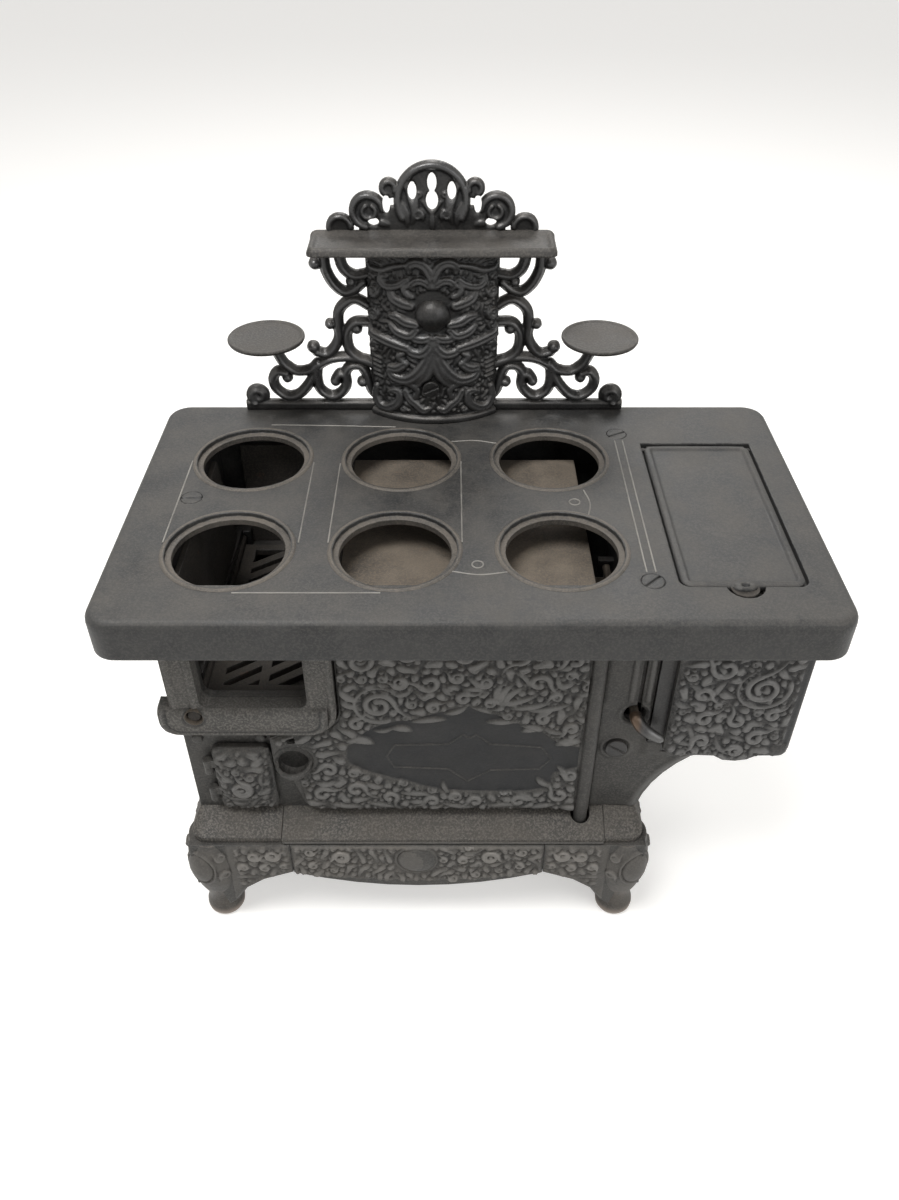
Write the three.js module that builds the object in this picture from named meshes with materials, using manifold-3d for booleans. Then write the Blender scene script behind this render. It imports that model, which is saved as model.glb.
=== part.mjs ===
// A salesman's sample stove: a small cast-iron range with six lid holes, an oven, a reservoir
// and a high back.
// Millimetres. X runs to the viewer's right, Y to the wall and Z up; the origin is on the floor,
// under the middle of the cooktop.
import * as THREE from "three";
import { mergeVertices } from "three/addons/utils/BufferGeometryUtils.js";
import Module from "manifold-3d";

const wasm = await Module();
wasm.setup();

// Driving dimensions
const seat = 0.3; // clearance between castings that seat on each other
const running = 0.4; // clearance round a pin that turns
const overrun = 2; // how far a cutting shape runs past what it cuts
const bolt = 1.9; // shank radius of every stove bolt

const cooktop = {
  width: 324,
  depth: 183,
  height: 227,
  plate: 4.5,
  edgeHeight: 20,
  edgeWall: 4,
  edgeBulge: 3.5,
  edgeRound: 5,
  cornerRadius: 12,
};
const lidHole = {
  radius: 25.5,
  ledge: 2.6,
  ledgeDepth: 1.8,
  bead: 1.7,
  beadHeight: 0.6,
  apart: 3,
  insetLeft: 53.7,
  insetReservoir: 48,
  insetFront: 51.2,
  insetBack: 55.6,
};
const reservoirHole = { width: 56.3, insetRight: 16.4, insetFront: 24.4, insetBack: 40.9, cornerRadius: 5 };
const body = { insetLeft: 22, insetRight: 74, insetFront: 27.5, insetBack: 11.5, wall: 4 };
const base = { legHeight: 66, plate: 3.5, rise: 7, skirtFront: 16, skirtSide: 4, cornerRadius: 8 };

// Planes that the body's pieces share
const left = -cooktop.width / 2 + body.insetLeft;
const right = cooktop.width / 2 - body.insetRight;
const front = -cooktop.depth / 2 + body.insetFront;
const back = cooktop.depth / 2 - body.insetBack;
const underside = cooktop.height - cooktop.plate;
const wallTop = underside - seat;
const deck = base.legHeight + base.plate + base.rise;
const wallFoot = deck + seat;
const insideFront = front + body.wall + seat;
const insideBack = back - body.wall - seat;
const insideLeft = left + body.wall;
const insideRight = right - body.wall;
const middleHeight = (wallFoot + wallTop) / 2;

// Where things on the body stand: from its left and right ends, its back, its foot, its middle height
// and its top
const fromLeft = {
  rivetLeft: 6.6,
  ashHinge: 10,
  grateAxis: 10.7,
  ashDoorLeft: 13,
  mouthLeft: 14,
  ashOpeningLeft: 16,
  rivetRight: 37.8,
  ashOpeningRight: 39,
  ashDoorRight: 42.4,
  doorLobe: 53.5,
  doorLowerLeft: 55.5,
  mouthRight: 64.5,
  mouthFrame: 77.5,
  doorLeft: 78.5,
  partition: 79.5,
  ovenOpening: 83,
};
const fromRight = { damper: 8, cooktopScrew: 9.6, columnScrew: 14.6, door: 25, oven: 30, ovenOpening: 34 };
const fromBack = { oven: 15, rearScrew: 20.1, reservoir: 22, damperBearing: 30 };
const aboveFoot = { ashDoor: 3.2, door: 3.7, ashOpening: 7.2, ovenOpening: 9.7 };
const aboveMiddle = { groove: 0.5, grate: 2.5, grateAxis: 3.5, sill: 8.5, leftLining: 12 };
const belowMiddle = {
  damper: 3.5,
  mouthFrame: 9.5,
  doorHole: 16.5,
  rivetRight: 20.1,
  rivetLeft: 20.7,
  ashDoor: 23.7,
  ashOpening: 24.5,
  reservoirPanel: 25,
  columnScrew: 27,
  reservoir: 28.2,
  doorCup: 32.5,
};
const belowTop = { lining: 10.2, oven: 14.2, mouthFrame: 16.2, door: 18.2, opening: 22.2 };

// Finishes
const finishes = {
  iron: new THREE.MeshStandardMaterial({ color: 0x4a4745, roughness: 0.62, metalness: 0.7 }),
  dustyIron: new THREE.MeshStandardMaterial({ color: 0x5a544d, roughness: 0.8, metalness: 0.45 }),
  rustyIron: new THREE.MeshStandardMaterial({ color: 0x5b4436, roughness: 0.85, metalness: 0.35 }),
  darkIron: new THREE.MeshStandardMaterial({ color: 0x2b2a2a, roughness: 0.55, metalness: 0.7 }),
  tinned: new THREE.MeshStandardMaterial({ color: 0x8b8b88, roughness: 0.45, metalness: 0.85 }),
};

const arcSteps = 5;
const pinSides = 16;
const mergeDistance = 1e-4;

// Closed triangles of a geometry as a solid that can be joined and cut
function solid(geometry) {
  const bare = geometry.clone();
  bare.deleteAttribute("normal");
  bare.deleteAttribute("uv");
  const merged = mergeVertices(bare, mergeDistance);
  const corners = merged.index.array;
  const kept = [];
  for (let i = 0; i < corners.length; i += 3) {
    const [a, b, c] = [corners[i], corners[i + 1], corners[i + 2]];
    if (a !== b && b !== c && a !== c) kept.push(a, b, c);
  }
  const vertProperties = new Float32Array(merged.attributes.position.array);
  return new wasm.Manifold(new wasm.Mesh({ numProp: 3, vertProperties, triVerts: new Uint32Array(kept) }));
}

function join(pieces) {
  return pieces.reduce((whole, piece) => whole.add(piece));
}

function cut(whole, pieces) {
  return pieces.reduce((rest, piece) => rest.subtract(piece), whole);
}

function block(minX, maxX, minY, maxY, minZ, maxZ) {
  const geometry = new THREE.BoxGeometry(maxX - minX, maxY - minY, maxZ - minZ);
  return solid(geometry.translate((minX + maxX) / 2, (minY + maxY) / 2, (minZ + maxZ) / 2));
}

// Prisms: an outline in the named plane, pushed along the third axis
function extruded(shape, length, curveSegments = arcSteps) {
  return new THREE.ExtrudeGeometry(shape, { depth: length, bevelEnabled: false, curveSegments });
}

function prismZ(shape, minZ, maxZ, segments) {
  return solid(extruded(shape, maxZ - minZ, segments).translate(0, 0, minZ));
}

function prismY(shape, minY, maxY, segments) {
  return solid(
    extruded(shape, maxY - minY, segments)
      .rotateX(Math.PI / 2)
      .translate(0, maxY, 0),
  );
}

function prismX(shape, minX, maxX, segments) {
  const turned = new THREE.Matrix4().makeBasis(
    new THREE.Vector3(0, 1, 0),
    new THREE.Vector3(0, 0, 1),
    new THREE.Vector3(1, 0, 0),
  );
  return solid(
    extruded(shape, maxX - minX, segments)
      .applyMatrix4(turned)
      .translate(minX, 0, 0),
  );
}

function outline(points) {
  return new THREE.Shape(points.map(([u, v]) => new THREE.Vector2(u, v)));
}

function roundedRectangle(minU, maxU, minV, maxV, radius) {
  const shape = new THREE.Shape();
  shape.moveTo(minU + radius, minV);
  shape.lineTo(maxU - radius, minV);
  shape.absarc(maxU - radius, minV + radius, radius, -Math.PI / 2, 0);
  shape.absarc(maxU - radius, maxV - radius, radius, 0, Math.PI / 2);
  shape.absarc(minU + radius, maxV - radius, radius, Math.PI / 2, Math.PI);
  shape.absarc(minU + radius, minV + radius, radius, Math.PI, 1.5 * Math.PI);
  return shape;
}

function cylinder(radius, from, to, sides = pinSides) {
  const start = new THREE.Vector3(...from);
  const end = new THREE.Vector3(...to);
  const geometry = new THREE.CylinderGeometry(radius, radius, start.distanceTo(end), sides);
  const turn = new THREE.Quaternion().setFromUnitVectors(
    new THREE.Vector3(0, 1, 0),
    end.clone().sub(start).normalize(),
  );
  geometry.applyQuaternion(turn);
  const middle = start.add(end).multiplyScalar(1 / 2);
  return solid(geometry.translate(middle.x, middle.y, middle.z));
}

function ball(radii, centre, sides = 10) {
  const geometry = new THREE.SphereGeometry(1, sides, Math.round(sides * 0.6)).rotateX(Math.PI / 2);
  return solid(geometry.scale(...radii).translate(...centre));
}

function knob(radius, centre) {
  return ball([radius, radius, radius], centre, 6);
}

// A profile of [radius, height] points that starts and ends on the Z axis
function turned(profile, sides) {
  const points = profile.map(([radius, height]) => new THREE.Vector2(radius, height));
  return solid(new THREE.LatheGeometry(points, sides).rotateX(Math.PI / 2));
}

// A round bar along a smooth curve through points [x, y, z]
function bar(points, radius, steps, sides = 5) {
  const path = new THREE.CatmullRomCurve3(points.map((point) => new THREE.Vector3(...point)));
  const section = new THREE.Shape();
  for (let i = 0; i < sides; i += 1) {
    const turn = (2 * Math.PI * i) / sides;
    const corner = [radius * Math.cos(turn), radius * Math.sin(turn)];
    if (i === 0) section.moveTo(...corner);
    else section.lineTo(...corner);
  }
  return solid(new THREE.ExtrudeGeometry(section, { steps, extrudePath: path, bevelEnabled: false }));
}

// Cast scrolls: spiral bars that stand half out of a plate's front. Each is [across, up, radius, start, turns],
// as shares of the plate's width, of its height twice, and of a full turn
const scroll = { bar: 1.3, proud: 0.5, inward: 0.62, points: 11, sides: 6 };

function scrollBars(scrollShares, firstX, width, foot, height, frontY) {
  return scrollShares.map(([across, up, size, start, turns]) => {
    const points = Array.from({ length: scroll.points }, (_, i) => {
      const share = i / (scroll.points - 1);
      const turn = 2 * Math.PI * (start + turns * share);
      const reach = (size * height - scroll.bar) * (1 - scroll.inward * share);
      return [
        firstX + across * width + reach * Math.cos(turn),
        frontY - scroll.proud,
        foot + up * height + reach * Math.sin(turn),
      ];
    });
    return bar(points, scroll.bar, scroll.points - 1, scroll.sides);
  });
}

function geometryOf(whole) {
  const mesh = whole.getMesh();
  const geometry = new THREE.BufferGeometry();
  geometry.setAttribute("position", new THREE.BufferAttribute(mesh.vertProperties, mesh.numProp));
  geometry.setIndex(new THREE.BufferAttribute(mesh.triVerts, 1));
  geometry.computeVertexNormals();
  return geometry;
}

const stove = new THREE.Group();

function place(name, shape, finish, position = [0, 0, 0], scale = [1, 1, 1]) {
  const mesh = new THREE.Mesh(geometryOf(shape), finishes[finish]);
  mesh.name = name;
  mesh.position.set(...position);
  mesh.scale.set(...scale);
  stove.add(mesh);
}

// Screws: a flat slotted head and a plain shank, pointing down from the origin
const screw = { headRadius: 5, headHeight: 1.8, slotWidth: 1.3, slotDepth: 0.8, length: 10 };
const columnScrewRadius = 5.4;
const backScrewRadius = 4.2;

function slottedScrew(headRadius, length, slotTurn) {
  const head = cylinder(headRadius, [0, 0, -screw.headHeight], [0, 0, 0], 20);
  const shank = cylinder(bolt, [0, 0, -length], [0, 0, -screw.headHeight / 2], 10);
  const slot = new THREE.BoxGeometry(
    2 * (headRadius + overrun),
    screw.slotWidth,
    2 * screw.slotDepth,
  ).rotateZ(slotTurn);
  return cut(join([head, shank]), [solid(slot)]);
}

function screwHole(headRadius, length, x, y, z) {
  return join([
    cylinder(headRadius + seat, [x, y, z - screw.headHeight - seat], [x, y, z + overrun], 20),
    cylinder(bolt + seat, [x, y, z - length - overrun], [x, y, z], 10),
  ]);
}

// Cooktop
const screwInset = { left: 7.2, leftBehindMiddle: 0.6, front: 0.9 };
const cooktopScrews = {
  front: { x: right - fromRight.cooktopScrew, y: front + screwInset.front },
  rear: { x: right - fromRight.cooktopScrew, y: back - fromBack.rearScrew },
  left: { x: left + screwInset.left, y: screwInset.leftBehindMiddle },
};
const ledgeWidth = 3;
const ledgeDrop = 3.4;
const notch = { radius: 8.5, reach: 7.5 };
const backTab = { width: 12, thickness: 4, height: 29, behindPanel: 0.8 };
const holeSides = 28;
const reservoirOpening = {
  right: cooktop.width / 2 - reservoirHole.insetRight,
  left: cooktop.width / 2 - reservoirHole.insetRight - reservoirHole.width,
  front: -cooktop.depth / 2 + reservoirHole.insetFront,
  back: cooktop.depth / 2 - reservoirHole.insetBack,
};
const lid = { gap: 0.7, thickness: 3, barrel: 2.4, pin: 1.1, pinLength: 2, border: 3, borderHeight: 0.5 };
const lidAxis = {
  y: reservoirOpening.back - lid.gap - lid.barrel,
  z: cooktop.height - lid.barrel,
};

// Lid holes one way: as many as their beads leave room for between two insets, and two at least
function spread(from, to) {
  const across = 2 * (lidHole.radius + lidHole.ledge + lidHole.bead);
  const gaps = Math.max(1, Math.floor((to - from) / across));
  const pitch = Math.max((to - from) / gaps, across + lidHole.apart);
  return Array.from({ length: gaps + 1 }, (_, i) => (from + to) / 2 + (i - gaps / 2) * pitch);
}

function lidHoleCentres() {
  const columns = spread(
    -cooktop.width / 2 + lidHole.insetLeft,
    reservoirOpening.left - lidHole.insetReservoir,
  );
  const rows = spread(-cooktop.depth / 2 + lidHole.insetFront, cooktop.depth / 2 - lidHole.insetBack);
  return columns.flatMap((x) => rows.map((y) => [x, y]));
}

// The rolled edge: the top of a bevelled slab whose lower bevel is cut away
function cooktopBlank() {
  const halfWidth = cooktop.width / 2 - cooktop.edgeBulge;
  const halfDepth = cooktop.depth / 2 - cooktop.edgeBulge;
  const radius = cooktop.cornerRadius - cooktop.edgeBulge;
  const shape = roundedRectangle(-halfWidth, halfWidth, -halfDepth, halfDepth, radius);
  const geometry = new THREE.ExtrudeGeometry(shape, {
    depth: cooktop.edgeHeight - cooktop.edgeRound,
    bevelThickness: cooktop.edgeRound,
    bevelSize: cooktop.edgeBulge,
    bevelSegments: 4,
    curveSegments: 6,
  });
  const bottom = cooktop.height - cooktop.edgeHeight;
  const lowerBevel = block(
    -cooktop.width,
    cooktop.width,
    -cooktop.depth,
    cooktop.depth,
    bottom - cooktop.edgeHeight,
    bottom,
  );
  return cut(solid(geometry.translate(0, 0, bottom)), [lowerBevel]);
}

function cooktopShape() {
  const innerX = cooktop.width / 2 - cooktop.edgeWall;
  const innerY = cooktop.depth / 2 - cooktop.edgeWall;
  const innerRadius = cooktop.cornerRadius - cooktop.edgeWall;
  const hollow = prismZ(
    roundedRectangle(-innerX, innerX, -innerY, innerY, innerRadius),
    cooktop.height - cooktop.edgeHeight - overrun,
    underside,
    4,
  );
  const beadRadius = lidHole.radius + lidHole.ledge + lidHole.bead;
  const beads = lidHoleCentres().map(([x, y]) =>
    cylinder(
      beadRadius,
      [x, y, underside + cooktop.plate / 2],
      [x, y, cooktop.height + lidHole.beadHeight],
      holeSides,
    ),
  );
  const holes = lidHoleCentres().flatMap(([x, y]) => [
    cylinder(lidHole.radius, [x, y, underside - overrun], [x, y, cooktop.height + overrun], holeSides),
    cylinder(
      lidHole.radius + lidHole.ledge,
      [x, y, cooktop.height - lidHole.ledgeDepth],
      [x, y, cooktop.height + overrun],
      holeSides,
    ),
  ]);
  const hole = reservoirOpening;
  const opening = prismZ(
    roundedRectangle(
      hole.left + ledgeWidth,
      hole.right - ledgeWidth,
      hole.front + ledgeWidth,
      hole.back - ledgeWidth,
      reservoirHole.cornerRadius - ledgeWidth,
    ),
    underside - overrun,
    cooktop.height + overrun,
    3,
  );
  const rabbet = prismZ(
    roundedRectangle(hole.left, hole.right, hole.front, hole.back, reservoirHole.cornerRadius),
    cooktop.height - ledgeDrop,
    cooktop.height + overrun,
    3,
  );
  const barrelRoom = block(
    hole.left + ledgeWidth,
    hole.right - ledgeWidth,
    lidAxis.y - lid.barrel - lid.gap,
    hole.back,
    underside - overrun,
    cooktop.height,
  );
  const swingRoom = block(
    hole.left,
    hole.right,
    lidAxis.y - lid.barrel - lid.gap,
    hole.back,
    cooktop.height - ledgeDrop,
    cooktop.height + overrun,
  );
  const middle = (hole.left + hole.right) / 2;
  const finger = cylinder(
    notch.radius,
    [middle, hole.front - notch.reach + notch.radius, underside - overrun],
    [middle, hole.front - notch.reach + notch.radius, cooktop.height + overrun],
    18,
  );
  const pinReach = lid.pinLength + seat;
  const sockets = cylinder(
    lid.pin + running,
    [hole.left - pinReach, lidAxis.y, lidAxis.z],
    [hole.right + pinReach, lidAxis.y, lidAxis.z],
    10,
  );
  const tab = block(
    highBack.middleX - backTab.width / 2,
    highBack.middleX + backTab.width / 2,
    tabFront,
    tabFront + backTab.thickness,
    underside + cooktop.plate / 2,
    cooktop.height + backTab.height,
  );
  const tabHole = cylinder(
    bolt + seat,
    [backScrew.x, tabFront - overrun, backScrew.z],
    [backScrew.x, tabFront + backTab.thickness + overrun, backScrew.z],
    10,
  );
  const screwHoles = Object.values(cooktopScrews).map(({ x, y }) =>
    screwHole(screw.headRadius, screw.length, x, y, cooktop.height),
  );
  const plate = join([cut(cooktopBlank(), [hollow]), ...beads, tab]);
  const reservoirCuts = [opening, rabbet, barrelRoom, swingRoom, finger, sockets];
  return cut(plate, [...holes, ...reservoirCuts, tabHole, ...screwHoles]);
}

function reservoirLidShape() {
  const hole = reservoirOpening;
  const minX = hole.left + lid.gap;
  const maxX = hole.right - lid.gap;
  const minY = hole.front + lid.gap;
  const plateBottom = cooktop.height - lid.thickness;
  const corner = reservoirHole.cornerRadius - lid.gap;
  const blank = prismZ(
    roundedRectangle(minX, maxX, minY, hole.back, corner),
    plateBottom,
    cooktop.height,
    3,
  );
  const plate = cut(blank, [
    block(
      minX - overrun,
      maxX + overrun,
      lidAxis.y,
      hole.back + overrun,
      plateBottom - overrun,
      cooktop.height + overrun,
    ),
  ]);
  const barrel = cylinder(
    lid.barrel,
    [minX + ledgeWidth, lidAxis.y, lidAxis.z],
    [maxX - ledgeWidth, lidAxis.y, lidAxis.z],
    16,
  );
  const pin = cylinder(
    lid.pin,
    [hole.left - lid.pinLength, lidAxis.y, lidAxis.z],
    [hole.right + lid.pinLength, lidAxis.y, lidAxis.z],
    10,
  );
  const panel = prismZ(
    roundedRectangle(
      minX + lid.border,
      maxX - lid.border,
      minY + lid.border,
      lidAxis.y - lid.border,
      corner - lid.border / 2,
    ),
    cooktop.height - lid.borderHeight,
    cooktop.height + overrun,
    3,
  );
  const middle = (hole.left + hole.right) / 2;
  const lug = cylinder(
    lidLug.radius,
    [middle, minY, plateBottom],
    [middle, minY, cooktop.height],
    16,
  );
  const lugHole = cylinder(
    lidLug.hole,
    [middle, minY - lidLug.holeForward, plateBottom - overrun],
    [middle, minY - lidLug.holeForward, cooktop.height + overrun],
    10,
  );
  return cut(join([plate, barrel, pin, lug]), [panel, lugHole]);
}

const lidLug = { radius: 6, hole: 2, holeForward: 1.6 };

// Body castings
const screwBoss = { radius: 5, height: 10 };
const column = { grooveWidth: 2, grooveFromRight: 5.5, grooveDepth: 2.5 };
const reservoirFoot = middleHeight - belowMiddle.reservoir;
const flareWide = 8; // how much wider than high the flare is
const flare = {
  top: reservoirFoot - seat,
  radius: reservoirFoot - seat - base.legHeight + flareWide,
  wall: 3,
};
const openingTop = wallTop - belowTop.opening;
const ovenOpening = {
  left: left + fromLeft.ovenOpening,
  right: right - fromRight.ovenOpening,
  bottom: wallFoot + aboveFoot.ovenOpening,
  top: openingTop,
  cornerRadius: 3,
};
const mouth = {
  left: left + fromLeft.mouthLeft,
  right: left + fromLeft.mouthRight,
  bottom: middleHeight + aboveMiddle.sill - seat,
  top: openingTop,
  cornerRadius: 5,
};
const ashOpening = {
  left: left + fromLeft.ashOpeningLeft,
  right: left + fromLeft.ashOpeningRight,
  bottom: wallFoot + aboveFoot.ashOpening,
  top: middleHeight - belowMiddle.ashOpening,
  cornerRadius: 3,
};
const columnScrew = {
  x: right - fromRight.columnScrew,
  z: middleHeight - belowMiddle.columnScrew,
  length: 9,
};
const damper = {
  x: right - fromRight.damper,
  z: middleHeight - belowMiddle.damper,
  radius: 2.2,
  leverHole: 5.5,
  blade: 17,
  bladeThickness: 1.6,
  bladeLength: 80,
  rearY: back - fromBack.damperBearing,
  lug: 4,
};

// The flare's curve: an arc about a point out under the reservoir, from the foot of the wall up
function flareCurve(offset) {
  const steps = 6;
  const radius = flare.radius + offset;
  const centreX = right + flare.radius;
  const centreZ = base.legHeight;
  const start = Math.asin((wallFoot - centreZ) / radius);
  const end = Math.asin((flare.top - centreZ) / radius);
  return Array.from({ length: steps + 1 }, (_, i) => {
    const turn = start + ((end - start) * i) / steps;
    return [centreX - radius * Math.cos(turn), centreZ + radius * Math.sin(turn)];
  });
}

function frontFrameShape() {
  const edge = [
    [left, wallFoot],
    ...flareCurve(0),
    [right, flare.top],
    [right, wallTop],
    [left, wallTop],
  ];
  const plate = prismY(outline(edge), front, front + body.wall);
  const through = [front - overrun, front + body.wall + overrun];
  const openings = [ovenOpening, mouth, ashOpening].map((opening) =>
    prismY(
      roundedRectangle(opening.left, opening.right, opening.bottom, opening.top, opening.cornerRadius),
      ...through,
    ),
  );
  const groove = block(
    right - column.grooveFromRight - column.grooveWidth,
    right - column.grooveFromRight,
    front - overrun,
    front + column.grooveDepth,
    middleHeight + aboveMiddle.groove,
    wallTop + overrun,
  );
  const holes = [
    cylinder(damper.leverHole, [damper.x, through[0], damper.z], [damper.x, through[1], damper.z]),
    cylinder(
      bolt + seat,
      [columnScrew.x, through[0], columnScrew.z],
      [columnScrew.x, through[1], columnScrew.z],
      10,
    ),
    cylinder(
      grate.shaft + running,
      [grate.axisX, through[0], grate.axisZ],
      [grate.axisX, through[1], grate.axisZ],
    ),
    ...rivetPlaces.map(({ x, z }) =>
      cylinder(rivet.shank + seat, [x, through[0], z], [x, through[1], z], 8),
    ),
  ];
  const boss = cylinder(
    screwBoss.radius,
    [cooktopScrews.front.x, cooktopScrews.front.y, wallTop - screwBoss.height],
    [cooktopScrews.front.x, cooktopScrews.front.y, wallTop],
    12,
  );
  const bossHole = screwHole(
    screw.headRadius,
    screw.length,
    cooktopScrews.front.x,
    cooktopScrews.front.y,
    cooktop.height,
  );
  const pinLug = cut(
    block(
      hinge.x - doorLug.width / 2,
      hinge.x + doorLug.width / 2,
      hinge.y - doorLug.width / 2,
      front + body.wall / 2,
      doorTop + doorLug.above,
      doorTop + doorLug.above + doorLug.height,
    ),
    [
      cylinder(
        ovenDoor.pin + running,
        [hinge.x, hinge.y, doorTop],
        [hinge.x, hinge.y, doorTop + doorLug.above + doorLug.height + overrun],
        12,
      ),
    ],
  );
  const lugs = knuckleHeights.map((z) => {
    const top = z - ashDoor.knuckleHeight / 2 - seat;
    const half = ashDoor.knuckleRadius;
    const lugFoot = top - ashDoor.lugHeight;
    const lug = join([
      cylinder(half, [ashHinge.x, ashHinge.y, lugFoot], [ashHinge.x, ashHinge.y, top], 12),
      block(ashHinge.x - half, ashHinge.x + half, ashHinge.y, front + body.wall / 2, lugFoot, top),
    ]);
    const bore = cylinder(
      ashDoor.pin + running,
      [ashHinge.x, ashHinge.y, top - ashDoor.lugHeight - overrun],
      [ashHinge.x, ashHinge.y, top + overrun],
      10,
    );
    return lug.subtract(bore);
  });
  return cut(join([plate, boss, pinLug, ...lugs]), [...openings, groove, ...holes, bossHole]);
}

// Firebox levels, used by the ends, the partition, the linings and the grate
const grate = {
  top: middleHeight + aboveMiddle.grate,
  thickness: 4,
  axisX: left + fromLeft.grateAxis,
  axisZ: middleHeight + aboveMiddle.grateAxis,
  shaft: 3,
  frameBar: 5,
  slat: 4.5,
  slatPitch: 10,
  slatTurn: 0.6,
  front: 4,
  rear: 12,
  stub: 8.6,
};
const bearingHalf = grate.shaft + running + damper.lug / 2;
const ledge = { reach: 8, height: 4 };
const ledgeTop = grate.top - grate.thickness - seat;
const lining = {
  thickness: 2.6,
  top: wallTop - belowTop.lining,
  lean: 4,
  leftFoot: middleHeight + aboveMiddle.leftLining,
};
const partition = { x: left + fromLeft.partition, thickness: 3.5 };
const oven = {
  wall: 3,
  right: right - fromRight.oven,
  back: back - fromBack.oven,
  top: wallTop - belowTop.oven,
};

function leftEndShape() {
  const wall = block(left, insideLeft, insideFront, insideBack, wallFoot, wallTop);
  const lug = block(
    insideLeft - overrun,
    cooktopScrews.left.x + screwBoss.radius,
    cooktopScrews.left.y - screwBoss.radius,
    cooktopScrews.left.y + screwBoss.radius,
    wallTop - screwBoss.height,
    wallTop,
  );
  const shelf = block(
    insideLeft - overrun,
    insideLeft + ledge.reach,
    insideFront + ledge.reach,
    insideBack - ledge.reach,
    lining.leftFoot - seat - ledge.height,
    lining.leftFoot - seat,
  );
  const { x, y } = cooktopScrews.left;
  return cut(join([wall, lug, shelf]), [
    screwHole(screw.headRadius, screw.length, x, y, cooktop.height),
  ]);
}

function rightEndShape() {
  const wall = block(insideRight, right, insideFront, insideBack, wallFoot, wallTop);
  const { x, y } = cooktopScrews.rear;
  const lug = block(
    x - screwBoss.radius,
    insideRight + overrun,
    y - screwBoss.radius,
    y + screwBoss.radius,
    wallTop - screwBoss.height,
    wallTop,
  );
  const half = damper.radius + running + damper.lug / 2;
  const bearing = block(
    damper.x - half,
    insideRight + overrun,
    damper.rearY,
    damper.rearY + damper.lug,
    damper.z - half,
    damper.z + half,
  );
  const bore = cylinder(
    damper.radius + running,
    [damper.x, damper.rearY - overrun, damper.z],
    [damper.x, damper.rearY + damper.lug + overrun, damper.z],
    12,
  );
  return cut(join([wall, lug, bearing]), [
    bore,
    screwHole(screw.headRadius, screw.length, x, y, cooktop.height),
  ]);
}

function backPlateShape() {
  const plate = block(left, right, back - body.wall, back, wallFoot, wallTop);
  const shelf = block(
    insideLeft + ledge.reach,
    partition.x - partition.thickness - ledge.reach,
    insideBack - ledge.reach,
    back - body.wall / 2,
    ledgeTop - ledge.height,
    ledgeTop,
  );
  const bearing = block(
    grate.axisX - bearingHalf,
    grate.axisX + bearingHalf,
    insideBack - ledge.reach,
    back - body.wall / 2,
    grate.axisZ - bearingHalf,
    grate.axisZ + bearingHalf,
  );
  const bore = cylinder(
    grate.shaft + running,
    [grate.axisX, insideBack - ledge.reach - overrun, grate.axisZ],
    [grate.axisX, insideBack, grate.axisZ],
    12,
  );
  return cut(join([plate, shelf, bearing]), [bore]);
}

// A curved sheet under the reservoir, with a flange along its top
function bracketShape() {
  const face = flareCurve(0);
  const sheet = prismY(outline([...face, ...flareCurve(flare.wall).reverse()]), insideFront, back);
  const flange = block(
    right + seat,
    face[face.length - 1][0] - flare.wall,
    insideFront,
    back,
    flare.top - flare.wall,
    flare.top,
  );
  const bodySide = block(insideRight, right + seat, front, back + overrun, base.legHeight, wallTop);
  return cut(join([sheet, flange]), [bodySide]);
}

// The deck of the base: a plate whose skirt slopes down to a rounded edge all round
const hearth = { insetLeft: 43.5, insetRight: 16.5, lip: 1, notch: 5 };

// A closed skin through outlines of one point count, from the lowest level up
function lofted(levels) {
  const rings = levels.map(({ shape, z }) => {
    const points = shape.extractPoints(arcSteps).shape;
    return points.map(({ x, y }) => [x, y, z]);
  });
  const count = rings[0].length;
  const last = rings.length - 1;
  const triangles = [];
  const corner = (level, i) => level * count + (i % count);
  for (let level = 0; level < last; level += 1) {
    for (let i = 0; i < count; i += 1) {
      triangles.push(corner(level, i), corner(level, i + 1), corner(level + 1, i + 1));
      triangles.push(corner(level, i), corner(level + 1, i + 1), corner(level + 1, i));
    }
  }
  for (let i = 1; i < count - 1; i += 1) {
    triangles.push(corner(0, 0), corner(0, i + 1), corner(0, i));
    triangles.push(corner(last, 0), corner(last, i), corner(last, i + 1));
  }
  const geometry = new THREE.BufferGeometry();
  geometry.setAttribute("position", new THREE.Float32BufferAttribute(rings.flat(2), 3));
  geometry.setIndex(triangles);
  return solid(geometry);
}

function skirtBlank(drop) {
  const inner = roundedRectangle(left, right, front, back, base.cornerRadius / 4);
  const outer = roundedRectangle(
    left - base.skirtSide,
    right + base.skirtSide,
    front - base.skirtFront,
    back + base.skirtSide,
    base.cornerRadius,
  );
  return lofted([
    { shape: outer, z: base.legHeight - drop },
    { shape: outer, z: base.legHeight + base.plate - drop },
    { shape: inner, z: deck - drop },
  ]);
}

function basePlateShape() {
  const hollow = skirtBlank(base.plate);
  const well = block(
    left + hearth.insetLeft,
    right - hearth.insetRight,
    front - base.skirtFront - overrun,
    front,
    base.legHeight - overrun,
    deck + overrun,
  );
  const boltHoles = legPlaces().map(({ x, y, signX, signY }) =>
    cylinder(
      bolt + seat,
      [x + signX * leg.boltX, y + signY * leg.boltY, base.legHeight - overrun],
      [x + signX * leg.boltX, y + signY * leg.boltY, deck + overrun],
      10,
    ),
  );
  return cut(skirtBlank(0), [hollow, well, ...boltHoles]);
}

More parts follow.
